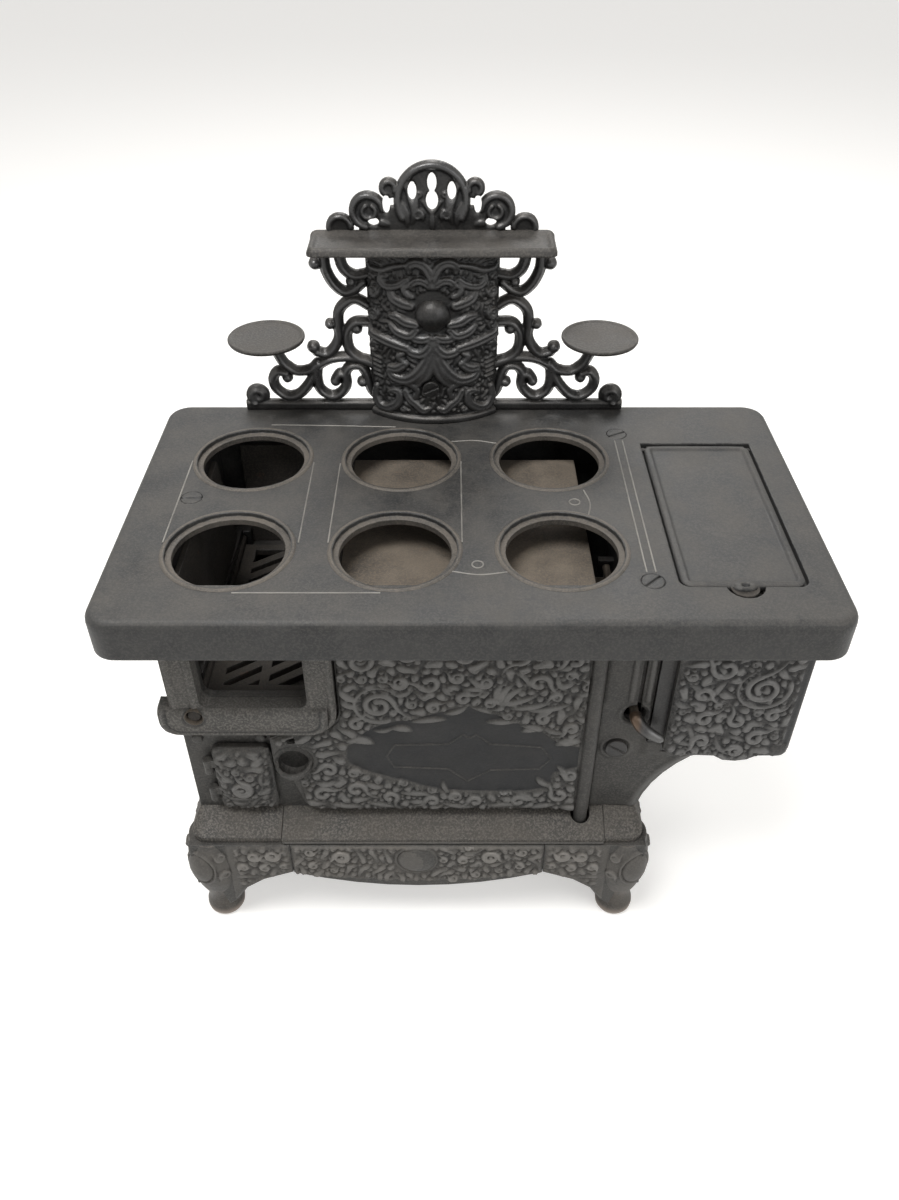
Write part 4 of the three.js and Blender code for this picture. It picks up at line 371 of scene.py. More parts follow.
def makeStudio():
    world = bpy.data.worlds.new("studio")
    scene.world = world
    world.use_nodes = True
    tree = world.node_tree
    background = tree.nodes["Background"]
    feed(tree, background.inputs["Color"], (1, 0.99, 0.97))
    feed(tree, background.inputs["Strength"], remap(tree, seenDirectly(tree), 0.0, 1.0, studio["worldLight"], 1.0))
    half = studio["floorSize"] / 2
    mesh = bpy.data.meshes.new("floor")
    mesh.from_pydata([(-half, -half, 0), (half, -half, 0), (half, half, 0), (-half, half, 0)], [], [(0, 1, 2, 3)])
    floor = bpy.data.objects.new("floor", mesh)
    scene.collection.objects.link(floor)
    material = bpy.data.materials.new("paleFloor")
    material.use_nodes = True
    tree = material.node_tree
    shader = tree.nodes["Principled BSDF"]
    feed(tree, shader.inputs["Base Color"], studio["floorColour"])
    feed(tree, shader.inputs["Roughness"], 0.85)
    feed(tree, shader.inputs["Emission Color"], (1, 0.99, 0.975))
    glow = remap(tree, seenDirectly(tree), 0.0, 1.0, 0.0, studio["floorGlow"])
    feed(tree, shader.inputs["Emission Strength"], glow)
    mesh.materials.append(material)
    for lamp in studio["lamps"]:
        data = bpy.data.lights.new(lamp["name"], "AREA")
        data.size = lamp["size"]
        data.energy = lamp["power"]
        thing = bpy.data.objects.new(lamp["name"], data)
        thing.location = lamp["place"]
        away = np.array(lamp["place"]) - np.array(lamp["aim"])
        across = math.hypot(away[0], away[1])
        thing.rotation_euler = (math.atan2(across, away[2]), 0, math.atan2(away[0], -away[1]))
        scene.collection.objects.link(thing)


makeStudio()
print("studio made")


# Cast ornament: an outline (below zero inside), a ground height and a raised layer, all on one grid of millimetres
def newField(minU, maxU, minV, maxV, step):
    across = np.arange(minU - step, maxU + 2 * step, step)
    up = np.arange(minV - step, maxV + 2 * step, step)
    u, v = np.meshgrid(across, up, indexing="ij")
    # the shade layer holds painted shade: darkening for hollows, grooves and sunk panels
    layers = {name: np.zeros(u.shape) for name in ("ground", "raised", "shade")}
    return SimpleNamespace(u=u, v=v, step=step, outline=np.full(u.shape, 1e3), **layers)


def windowOf(field, points, margin):
    low = points.min(axis=0) - margin
    high = points.max(axis=0) + margin
    first = np.floor((low - [field.u[0, 0], field.v[0, 0]]) / field.step).astype(int)
    last = np.ceil((high - [field.u[0, 0], field.v[0, 0]]) / field.step).astype(int) + 1
    first = np.maximum(first, 0)
    last = np.maximum(last, 0)
    return slice(first[0], last[0]), slice(first[1], last[1])


def alongStroke(field, part, points, halves):
    # for each grid point: the share of the stroke's half width, that half width, and how far outside it is
    u, v = field.u[part], field.v[part]
    share = np.full(u.shape, 1e3)
    outside = np.full(u.shape, 1e3)
    width = np.full(u.shape, 1.0)
    for i in range(len(points) - 1):
        run = points[i + 1] - points[i]
        length = float(run @ run) + 1e-12
        t = np.clip(((u - points[i, 0]) * run[0] + (v - points[i, 1]) * run[1]) / length, 0, 1)
        apart = np.hypot(u - points[i, 0] - t * run[0], v - points[i, 1] - t * run[1])
        half = halves[i] + t * (halves[i + 1] - halves[i])
        width = np.where(apart / half < share, half, width)
        share = np.minimum(share, apart / half)
        outside = np.minimum(outside, apart - half)
    return share, outside, width


strokeShape = {"flatness": 2.4, "shoulder": 0.62, "taper": 0.6, "groove": 0.36}


def raiseStroke(field, points, halves, height, groove=0.0):
    points = np.asarray(points, float)
    halves = np.asarray(halves, float)
    part = windowOf(field, points, halves.max() + field.step)
    share, _, width = alongStroke(field, part, points, halves)
    shape = strokeShape
    rise = height * np.clip(1 - share ** shape["flatness"], 0, 1) ** shape["shoulder"]
    rise *= (width / halves.max()) ** shape["taper"]
    rise -= groove * bell(share, 0, shape["groove"]) * (share < 1)
    field.raised[part] = np.maximum(field.raised[part], rise)


def growOutline(field, points, halves):
    points = np.asarray(points, float)
    halves = np.asarray(halves, float)
    part = windowOf(field, points, halves.max() + 6)
    _, outside, _ = alongStroke(field, part, points, halves)
    field.outline[part] = np.minimum(field.outline[part], outside)


def smoothPath(points, count):
    # a rounded path through the given points
    points = np.asarray(points, float)
    padded = np.vstack([2 * points[0] - points[1], points, 2 * points[-1] - points[-2]])
    path = []
    for share in np.linspace(0, len(points) - 1 - 1e-9, count):
        i = int(share)
        t = share - i
        a, b, c, d = padded[i : i + 4]
        bent, turned = (2 * a - 5 * b + 4 * c - d) * t**2, (3 * b - a - 3 * c + d) * t**3
        path.append(0.5 * (2 * b + (c - a) * t + bent + turned))
    return np.array(path)


def curlPath(x, z, radius, start, turns, tail=1.2):
    # a spiral whose outer end runs on in a tail that bends the other way
    count = max(14, int(abs(turns) * 20))
    t = np.linspace(0, 1, count)
    half = radius * min(0.27, 0.36 / abs(turns))
    angle = math.radians(start) + 2 * math.pi * turns * t
    out = (radius - half) * (1 - 0.62 * t)
    points = np.stack([x + out * np.cos(angle), z + out * np.sin(angle)], axis=1)
    halves = half * (1.1 - 0.3 * t)
    if tail:
        heading = angle[0] - math.copysign(math.pi / 2, turns)
        bend = math.copysign(0.9, turns) / radius
        pace = tail * radius / 8
        place = points[0]
        trail = []
        for _ in range(8):
            heading += bend * pace * 1.1
            place = place + pace * np.array([math.cos(heading), math.sin(heading)])
            trail.append(place)
        points = np.vstack([trail[::-1], points])
        halves = np.concatenate([np.linspace(0.25, 0.95, 8) * half, halves])
    return points, halves


def raiseCurls(field, curls, lift=1.0, tail=1.2):
    for x, z, radius, start, turns in curls:
        points, halves = curlPath(x, z, radius, start, turns, tail)
        height = lift * min(2.3, 0.8 + 0.26 * radius)
        raiseStroke(field, points, halves, height)
        eye = np.array([[x, z], [x + 0.05 * radius, z]])
        raiseStroke(field, eye, [0.21 * radius, 0.21 * radius], 0.85 * height)


def freeRoom(taken, most):
    # how many grid steps each point is from anything raised or barred
    room = np.zeros(taken.shape)
    clear = ~taken
    for turn in range(most):
        room += clear
        padded = np.pad(clear, 1)
        eroded = clear & padded[:-2, 1:-1] & padded[2:, 1:-1] & padded[1:-1, :-2] & padded[1:-1, 2:]
        if turn % 2:
            eroded &= padded[:-2, :-2] & padded[2:, 2:] & padded[:-2, 2:] & padded[2:, :-2]
        clear = eroded
    return room


def traceLeaf(field, room, start, centres, spare, way):
    # a path that runs round the nearest scroll for as long as there is room
    point = start
    path = []
    for _ in range(14):
        away = point - centres
        nearest = away[np.argmin(np.hypot(away[:, 0], away[:, 1]))]
        along = way * np.array([-nearest[1], nearest[0]]) + 0.3 * nearest
        point = point + 0.65 * along / (np.hypot(*along) + 1e-9)
        place = np.rint((point - [field.u[0, 0], field.v[0, 0]]) / field.step).astype(int)
        if np.any(place < 0) or np.any(place >= room.shape) or room[tuple(place)] < 0.5 * spare:
            break
        path.append(point)
    return path


leafFill = {"reach": 4.5, "bare": 0.25, "tries": 500, "fit": 0.9, "groove": 0.45, "grooveFrom": 1.3}


def fillWithLeaves(field, barred, scrolls, widest, smallest, lift, seed):
    # leaves that echo the scrolls, fattest first, in the room between them
    chance = np.random.default_rng(seed)
    centres = np.array([scroll[:2] for scroll in scrolls])
    most = leafFill["reach"]
    room = field.step * freeRoom(barred | (field.raised > leafFill["bare"]), int(most / field.step))
    for _ in range(leafFill["tries"]):
        best = np.unravel_index(np.argmax(room), room.shape)
        spare = room[best]
        if spare < smallest:
            break
        start = np.array([field.u[best], field.v[best]])
        width = min(widest, leafFill["fit"] * spare)
        ahead = traceLeaf(field, room, start, centres, min(spare, widest), 1)
        behind = traceLeaf(field, room, start, centres, min(spare, widest), -1)
        path = np.array(behind[::-1] + [start] + ahead)
        if chance.random() > 0.5:
            path = path[::-1]
        if len(path) < 4:
            path = np.array([start + [-0.5 * spare, 0], start, start + [0.5 * spare, 0.2 * spare]])
        t = np.linspace(0, 1, len(path))
        halves = width * (1.0 - 0.72 * t**1.5) * np.minimum(1, 0.62 + 3 * t)
        groove = leafFill["groove"] if width > leafFill["grooveFrom"] else 0.0
        raiseStroke(field, path, halves, lift * min(2.0, 0.75 + 0.7 * width), groove)
        part = windowOf(field, path, most + widest)
        _, outside, _ = alongStroke(field, part, path, np.maximum(halves, 0.6 * width))
        room[part] = np.minimum(room[part], outside - 0.1)


castScroll = {"bar": 1.3, "inward": 0.62, "half": 1.75, "height": 2.2}


def raiseMainScrolls(field, scrolls):
    # the scrolls that the solid has too, each a little fuller than its bar
    t = np.linspace(0, 1, 44)
    for x, z, radius, start, turns in scrolls:
        angle = 2 * math.pi * (start + turns * t)
        reach = (radius - castScroll["bar"]) * (1 - castScroll["inward"] * t)
        points = np.stack([x + reach * np.cos(angle), z + reach * np.sin(angle)], axis=1)
        raiseStroke(field, points, np.full(len(t), castScroll["half"]), castScroll["height"])
        way = math.copysign(1, turns)
        heading = angle[0] - way * math.pi / 2
        tail = [points[0]]
        for _ in range(9):
            heading += 0.17 * way * (6.0 / radius)
            tail.append(tail[-1] + 0.2 * radius * np.array([math.cos(heading), math.sin(heading)]))
        raiseStroke(field, tail, np.linspace(1.6, 0.45, len(tail)), 0.85 * castScroll["height"])
        head = points[-1:] + np.array([[0, 0], [0.05, 0]])
        raiseStroke(field, head, [2.1, 2.1], castScroll["height"] + 0.15)


def raiseRings(field, rings):
    # the outer band of a large scroll
    for x, z, radius, first, last in rings:
        angle = 2 * math.pi * np.linspace(first, last, 40)
        points = np.stack([x + radius * np.cos(angle), z + radius * np.sin(angle)], axis=1)
        raiseStroke(field, points, np.linspace(0.7, 1.5, 40), 1.95)


def mirroredCurls(curls, middle=0.0):
    return [(2 * middle - x, z, radius, 180 - start, -turns) for x, z, radius, start, turns in curls]


def leafPath(x0, z0, x1, z1, bow, width):
    t = np.linspace(0, 1, 9)[:, None]
    first, last = np.array([x0, z0]), np.array([x1, z1])
    along = last - first
    middle = (first + last) / 2 + bow * np.array([-along[1], along[0]])
    points = (1 - t) ** 2 * first + 2 * t * (1 - t) * middle + t**2 * last
    halves = width * np.sin(math.pi * (0.1 + 0.86 * t[:, 0])) ** 0.7
    return points, np.maximum(halves, 0.15)


def raiseLeaves(field, leaves, lift=1.0):
    for leaf in leaves:
        points, halves = leafPath(*leaf)
        raiseStroke(field, points, 1.25 * halves, lift * min(2.0, 0.75 + 0.55 * leaf[5]), groove=0.35)


def raiseDome(field, x, z, radiusX, radiusZ, height, rim=0.0):
    share = np.hypot((field.u - x) / radiusX, (field.v - z) / radiusZ)
    rise = height * bead(share, 0, 1)
    if rim:
        rise = np.maximum(rise, rim * bead(share, 1.12, 0.09))
    field.ground = np.maximum(field.ground, rise)


def insidePolygon(field, corners):
    # signed distance to a polygon, below zero inside
    u, v = field.u, field.v
    corners = np.asarray(corners, float)
    nearest = np.full(u.shape, 1e3)
    crossed = np.zeros(u.shape, bool)
    for i in range(len(corners)):
        a, b = corners[i], corners[(i + 1) % len(corners)]
        run = b - a
        t = np.clip(((u - a[0]) * run[0] + (v - a[1]) * run[1]) / (run @ run), 0, 1)
        nearest = np.minimum(nearest, np.hypot(u - a[0] - t * run[0], v - a[1] - t * run[1]))
        if a[1] != b[1]:
            where = a[0] + (v - a[1]) * run[0] / run[1]
            crossed ^= ((a[1] > v) != (b[1] > v)) & (u < where)
    return np.where(crossed, -nearest, nearest)


def roundedBox(field, left, right, low, high, corner):
    across = np.abs(field.u - (left + right) / 2) - ((right - left) / 2 - corner)
    up = np.abs(field.v - (low + high) / 2) - ((high - low) / 2 - corner)
    return np.hypot(across.clip(0), up.clip(0)) + np.minimum(np.maximum(across, up), 0) - corner


def bell(values, centre, width):
    return np.exp(-(((values - centre) / width) ** 2))


def bead(values, centre, half):
    # a half-round profile, level with the ground beyond its half width
    return np.sqrt(np.clip(1 - ((values - centre) / half) ** 2, 0, 1))


def softStep(values, low, high):
    t = np.clip((values - low) / (high - low), 0, 1)
    return t * t * (3 - 2 * t)


def smoothed(values, times):
    for _ in range(times):
        padded = np.pad(values, 1, mode="edge")
        values = (padded[:-2, 1:-1] + padded[2:, 1:-1] + padded[1:-1, :-2] + padded[1:-1, 2:] + 4 * values) / 8
    return values


def openEdges(faces):
    # edges used by one face alone, in that face's direction
    sides = set()
    for face in faces:
        for i in range(len(face)):
            sides.add((face[i], face[(i + 1) % len(face)]))
    return [side for side in sides if (side[1], side[0]) not in sides]


def chainLoops(edges):
    after = dict(edges)
    loops = []
    while after:
        start = next(iter(sorted(after)))
        loop = [start]
        following = after.pop(start)
        while following != start:
            loop.append(following)
            following = after.pop(following)
        loops.append(loop)
    return loops


def castMesh(name, field, toPoint, backHeight, fullBack=False):
    # turns a field into a closed mesh: ornamented front, walls round the outline, plain back
    outline = field.outline.copy()
    tiny = 0.12 * field.step
    outline = np.where(np.abs(outline) < tiny, -tiny, outline)
    height = field.ground + field.raised
    raised = field.raised
    # painted shade: hollows lying below the smoothed surface are darkened, on top of the field's own painted shade
    cavity = softStep(smoothed(height, 30) - height, 0.05, 0.7)
    dark = np.maximum(field.shade, 0.8 * cavity * (outline < -0.6))
    inside = outline < 0
    index = np.full(outline.shape, -1)
    index[inside] = np.arange(inside.sum())
    u = list(field.u[inside])
    v = list(field.v[inside])
    h = list(height[inside])
    tone = list(raised[inside])
    shade = list(dark[inside])
    full = inside[:-1, :-1] & inside[1:, :-1] & inside[1:, 1:] & inside[:-1, 1:]
    i, j = np.nonzero(full)
    faces = np.stack([index[i, j], index[i + 1, j], index[i + 1, j + 1], index[i, j + 1]], axis=1).tolist()
    anyInside = inside[:-1, :-1] | inside[1:, :-1] | inside[1:, 1:] | inside[:-1, 1:]
    cuts = {}

    def cutPoint(first, second):
        key = (min(first, second), max(first, second))
        if key not in cuts:
            a, b = key
            t = outline[a] / (outline[a] - outline[b])
            cuts[key] = len(u)
            layers = ((u, field.u), (v, field.v), (h, height), (tone, raised), (shade, dark))
            for values, source in layers:
                values.append(source[a] + t * (source[b] - source[a]))
        return cuts[key]

    for i, j in zip(*np.nonzero(anyInside & ~full)):
        ring = [(i, j), (i + 1, j), (i + 1, j + 1), (i, j + 1)]
        face = []
        for place in range(4):
            here, following = ring[place], ring[(place + 1) % 4]
            if inside[here]:
                face.append(int(index[here]))
            if inside[here] != inside[following]:
                face.append(cutPoint(here, following))
        if len(face) > 2:
            faces.append(face)
    count = len(u)
    front = [toPoint(a, b, c) for a, b, c in zip(u, v, h)]
    edges = openEdges(faces)
    if fullBack:
        back = [toPoint(a, b, backHeight) for a, b in zip(u, v)]
        walls = [(b, a, a + count, b + count) for a, b in edges]
        faces = faces + walls + [[corner + count for corner in reversed(face)] for face in faces]
        points = front + back
    else:
        loops = chainLoops(edges)
        rim = [corner for loop in loops for corner in loop]
        lower = {corner: count + place for place, corner in enumerate(rim)}
        points = front + [toPoint(u[corner], v[corner], backHeight) for corner in rim]
        flat = tessellate_polygon([[(u[corner], v[corner], 0) for corner in loop] for loop in loops])
        walls = [(b, a, lower[a], lower[b]) for a, b in edges]
        faces = faces + walls
        for triangle in flat:
            a, b, c = (rim[place] for place in triangle)
            turn = (u[b] - u[a]) * (v[c] - v[a]) - (v[b] - v[a]) * (u[c] - u[a])
            faces.append([lower[a], lower[c], lower[b]] if turn > 0 else [lower[a], lower[b], lower[c]])
    mesh = meshFrom(name, points, faces)
    behind = np.zeros(len(points) - count)
    addLayer(mesh, "relief", np.concatenate([np.clip(np.array(tone) / 1.8, -1, 1), behind]))
    addLayer(mesh, "shade", np.concatenate([shade, behind]))
    return finishMesh(mesh)


def tubeFaces(rings, segments, loop=False):
    # the sides of a tube of stacked rings, which may close on itself
    faces = []
    for ring in range(rings if loop else rings - 1):
        low, high = ring * segments, (ring + 1) % rings * segments
        for j in range(segments):
            k = (j + 1) % segments
            faces.append((low + j, low + k, high + k, high + j))
    return faces


def pointedCaps(rings, segments):
    # both ends of a tube, each closed to one more point
    tip, last = rings * segments, (rings - 1) * segments
    start = [(tip, (j + 1) % segments, j) for j in range(segments)]
    return start + [(tip + 1, last + j, last + (j + 1) % segments) for j in range(segments)]


def meshFrom(name, points, faces):
    mesh = bpy.data.meshes.new(name)
    mesh.from_pydata([[value * mm for value in point] for point in points], [], faces)
    return mesh


def addLayer(mesh, label, values):
    mesh.attributes.new(label, "FLOAT", "POINT").data.foreach_set("value", values.astype(np.float32))


creaseAngle = math.radians(42)


def finishMesh(mesh):
    # outward faces, smooth shading with crisp corners
    mesh.validate()
    work = bmesh.new()
    work.from_mesh(mesh)
    bmesh.ops.recalc_face_normals(work, faces=work.faces)
    openCount = sum(not edge.is_manifold for edge in work.edges)
    work.to_mesh(mesh)
    work.free()
    mesh.shade_smooth()
    mesh.set_sharp_from_angle(angle=creaseAngle)
    if openCount:
        print("open edges in", mesh.name, openCount)
    return mesh


def addPiece(mesh, body, finish, replaced=()):
    piece = bpy.data.objects.new(mesh.name, mesh)
    scene.collection.objects.link(piece)
    mesh.materials.append(finishes[finish])
    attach(piece, body)
    if replaced:
        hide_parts(*replaced)


def facingFront(y):
    return lambda u, v, h: (u, y - h, v)


def roundRim(field, width, drop):
    # the rim of a casting rolls away over a given width
    inner = np.clip(1 + field.outline / width, 0, 1)
    field.ground = field.ground - drop * (1 - np.sqrt(1 - inner**2))


# grid: first and last across, first and last up; fill: widest and smallest leaf, height, seed; rim: width, drop
# curls: x, z, radius, start in degrees, turns; leaves: both ends, bow, half width
# Oven door: a raised scroll field round a plain sunk panel with a thin border
ovenDoor = {
    "step": 0.5, "faceY": -69.2, "back": -0.5, "panelGround": 0.2, "fieldGround": 0.95,
    "mains": [
        (-42.7, 158.5, 8.9, 0.03, 1.25), (-18.5, 173.5, 6.4, 0.6, 0.8), (-2.5, 163.2, 4.8, 0.15, 0.8),
        (32, 173.2, 6.4, 0, 0.8), (47.5, 187, 5.6, 0.5, -0.8), (22.5, 191, 6.6, 0.75, 0.8),
        (-3, 190.5, 6.8, 0.25, -0.8), (-27.5, 192, 6.2, 0.5, 0.8), (-50, 187, 7, 0, -0.8),
        (-53.2, 146, 4.8, 0.25, 0.8), (35.5, 149.5, 4.6, 0.25, 0.8), (49.3, 142.5, 4.6, 0.55, -0.8),
        (-69.3, 112.5, 5.8, 0.45, -0.8), (-73.5, 94, 5.8, 0.15, 0.8), (-56.5, 97.5, 6.2, 0, 0.8),
        (-39.5, 91.5, 5.2, 0.9, 0.8), (-18, 88.6, 4.8, 0.5, -0.8), (4, 88.4, 4.8, 0.5, -0.8),
        (26, 88.6, 4.8, 0.1, 0.8), (46.5, 93.5, 5.8, 0.45, 0.8),
    ],
    "rings": [(-42.7, 158.5, 11.2, 0.08, 0.82)],
    "border": [
        (-40.1, 121.4), (-36, 129.4), (-9.9, 130.1), (-2.4, 137.1), (-0.6, 134.9), (1.3, 134.9), (3.7, 137.1),
        (10.7, 130.1), (35.7, 127.8), (41.2, 119.4), (35.4, 111.7), (11.2, 110.8), (-0.2, 102.5),
        (-9.9, 111.8), (-36.6, 113.2), (-40.1, 121.4),
    ],
    "outline": [
        (-60.9, 203.4), (-60.9, 151), (-62.4, 146), (-66.2, 141.6), (-71.4, 139.2), (-86, 138.6),
        (-95.6, 133.4), (-95.9, 116), (-93.6, 111.4), (-89.6, 107.8), (-84, 106.2), (-84, 90), (-82, 84.6),
        (-76, 81.1), (55, 81.1), (55, 203.4),
    ],
    "panel": [
        (-59.8, 126.7), (-57, 131), (-51.7, 137.7), (-40.3, 144.9), (-24, 149.2), (-7.4, 155.3), (-0.2, 157),
        (7, 154.6), (24.3, 144.8), (34, 140.4), (43.5, 132.1), (57.6, 126.5), (61.3, 121), (58, 114.4),
        (43.8, 109.3), (42, 102), (37, 96.5), (20, 94.6), (-12.5, 95.8), (-28, 101.5), (-39.4, 105.6),
        (-52, 111), (-59.2, 117.2),
    ],
    "curls": [
        (-32, 173.5, 4.9, 210, 1.6), (-5.7, 176.8, 4.4, 180, 1.5), (7.5, 173.5, 4.3, 200, 1.4),
        (10.1, 160.1, 4.1, 20, 1.4), (40.6, 163.9, 4, 180, -1.3), (54.8, 170.9, 4.2, 90, -1.5),
        (-26.9, 159.3, 3.6, 150, 1.3), (-16.8, 157.2, 4.4, 60, 1.5), (-29.8, 149.6, 2.7, 0, 1.1),
        (56.7, 156.6, 3.4, 0, 1.2), (18.5, 151.5, 3.2, 180, 1.2), (-49.4, 176, 3.5, 200, 1.2),
        (46.3, 177.8, 3.7, 0, 1.3), (60.3, 181, 3.2, 90, 1.2), (-58.8, 176, 3.3, 90, 1.2),
        (-40.1, 176, 3.3, 30, -1.2), (-56.8, 110.1, 4.1, 30, 1.3), (-32.4, 102.2, 3.3, 180, -1.2),
        (-18.3, 97.2, 3.1, 0, -1.2), (-6, 91.7, 4.4, 200, -1.4), (18.7, 95.7, 3.9, 0, 1.3),
        (30.2, 99.7, 4.1, 180, 1.4), (51.2, 108.4, 4.4, 200, 1.5), (-82, 102.3, 3.3, 90, 1.2),
        (62.1, 89.9, 3.4, 90, 1.2),
    ],
    "leaves": [
        (12.9, 160.1, 16, 173.5, 0.25, 1.54), (14.7, 159.2, 20.7, 172.6, 0.3, 1.68),
        (16.5, 158.4, 25.5, 170.2, 0.3, 1.68), (12.9, 159.2, 32.2, 165.6, -0.15, 1.56),
        (20.2, 156.1, 39.3, 161.2, -0.12, 1.56), (28.6, 154.6, 47.7, 159.5, -0.12, 1.56),
        (40.7, 171, 48.2, 173.4, -0.2, 1.68), (-60.5, 168.6, -50.5, 161.4, -0.3, 1.92),
        (-59.9, 160.2, -51.7, 157.3, -0.2, 1.68), (-35.3, 165.2, -26.3, 168.6, -0.25, 1.44),
        (-2.7, 168.5, 7.9, 167.7, 0.2, 1.44), (50.6, 165.1, 63.2, 163.4, 0.2, 1.68),
        (50.6, 150.5, 61.8, 147, -0.2, 1.56), (25.5, 143.5, 35.4, 142.6, 0.1, 1.56),
        (-12.1, 171, -7.4, 165.2, -0.3, 1.32), (-0.5, 175.9, 4.4, 167.7, 0.3, 1.44),
        (40.3, 177.5, 45.7, 167.6, -0.3, 1.32), (21.6, 179.2, 27.9, 169.3, 0.3, 1.32),
        (-48.6, 169.4, -42.7, 171.1, 0.2, 1.32), (-11, 152, -0.8, 157.2, -0.2, 1.56),
        (1.6, 156.2, 11.3, 151.5, 0.2, 1.56), (-26.8, 146.3, -10.1, 148, 0.06, 1.56),
        (9, 146.2, 24.4, 147.4, -0.06, 1.56), (-36.5, 141.5, -27, 139.7, 0.25, 1.8),
        (26.3, 139.6, 36.1, 141.4, 0.25, 1.95), (-58.3, 133.2, -46.1, 130.6, 0.3, 2.28),
        (43.5, 130.4, 54.5, 133, 0.3, 2.47), (-45.4, 140, -35.5, 142.7, -0.25, 1.2),
        (36, 142.6, 47.2, 139.5, -0.25, 1.2), (-33.3, 94.2, -17.7, 92.9, 0.08, 1.56),
        (-29.6, 87.6, -20.4, 88.4, -0.1, 1.56), (-12.5, 85.9, 4.6, 83.4, -0.08, 1.43),
        (11.2, 83.8, 29.5, 85.8, 0.08, 1.43), (32.3, 82.7, 45.4, 84.8, 0.1, 1.54),
        (25.2, 94.1, 36.1, 85.8, 0.2, 1.56), (48.8, 82.7, 59, 80, 0.2, 2.1),
        (-70.4, 86, -53.4, 83.9, -0.1, 1.56), (-51.1, 102.2, -42.2, 99.2, -0.25, 1.69),
        (-50.7, 86, -36.3, 82.8, 0.1, 1.43), (-66.5, 103.2, -76.9, 102.3, 0.3, 1.69),
        (44.7, 113.8, 49.4, 102.1, 0.25, 1.56), (-12.5, 102.2, -9.3, 94.1, -0.2, 1.3),
        (35, 105.1, 42.5, 99.1, -0.25, 1.56),
    ],
    "grid": (-97, 56, 80, 204.5), "fill": (2.5, 1.0, 1.0, 3), "rim": (1.4, 0.7),
    "cup": (-86.5, 118.0, 9.7, 10.6, 12.0), "pinHole": (-86.5, 133.0, 2.35),
}


def makeOvenDoor():
    door = ovenDoor
    field = newField(*door["grid"], door["step"])
    field.outline = insidePolygon(field, door["outline"])
    panel = insidePolygon(field, smoothPath(door["panel"] + door["panel"][:1], 120))
    raiseMainScrolls(field, door["mains"])
    raiseRings(field, door["rings"])
    raiseCurls(field, door["curls"])
    cupX, cupZ, cupRadius, cupRim, cupRoom = door["cup"]
    cup = np.hypot(field.u - cupX, field.v - cupZ)
    barred = (panel < 0.8) | (field.outline > -0.8) | (cup < cupRoom)
    raiseLeaves(field, door["leaves"])
    fillWithLeaves(field, barred, door["mains"] + door["curls"], *door["fill"])
    field.raised *= softStep(panel, -1.6, 0.2) * softStep(cup, cupRim, cupRoom)
    raiseLeaves(field, door["leaves"], 1.1)
    field.raised = smoothed(field.raised, 1)
    rise = door["fieldGround"] - door["panelGround"]
    field.ground = door["panelGround"] + rise * softStep(panel, -0.6, 0.6)
    # painted shade: the sunk panel is darkened except under raised strokes, and less so along its thin border bead
    field.shade = softStep(-panel, -0.2, 0.8) * softStep(-field.raised, -0.9, -0.2)
    part = windowOf(field, np.array(door["border"]), 2)
    share, _, _ = alongStroke(field, part, np.array(door["border"]), [0.5] * len(door["border"]))
    line = bead(share, 0, 1)
    field.ground[part] += 0.55 * line
    field.shade[part] *= 1 - 0.75 * line
    holeX, holeZ, holeRadius = door["pinHole"]
    hole = holeRadius - np.hypot(field.u - holeX, field.v - holeZ)
    field.outline = np.maximum(np.maximum(field.outline, hole), cupRadius - cup)
    roundRim(field, *door["rim"])
    mesh = castMesh("ovenDoorRelief", field, facingFront(door["faceY"]), door["back"])
    addPiece(mesh, "oven_door", "castFront")


makeOvenDoor()
print("oven door made")


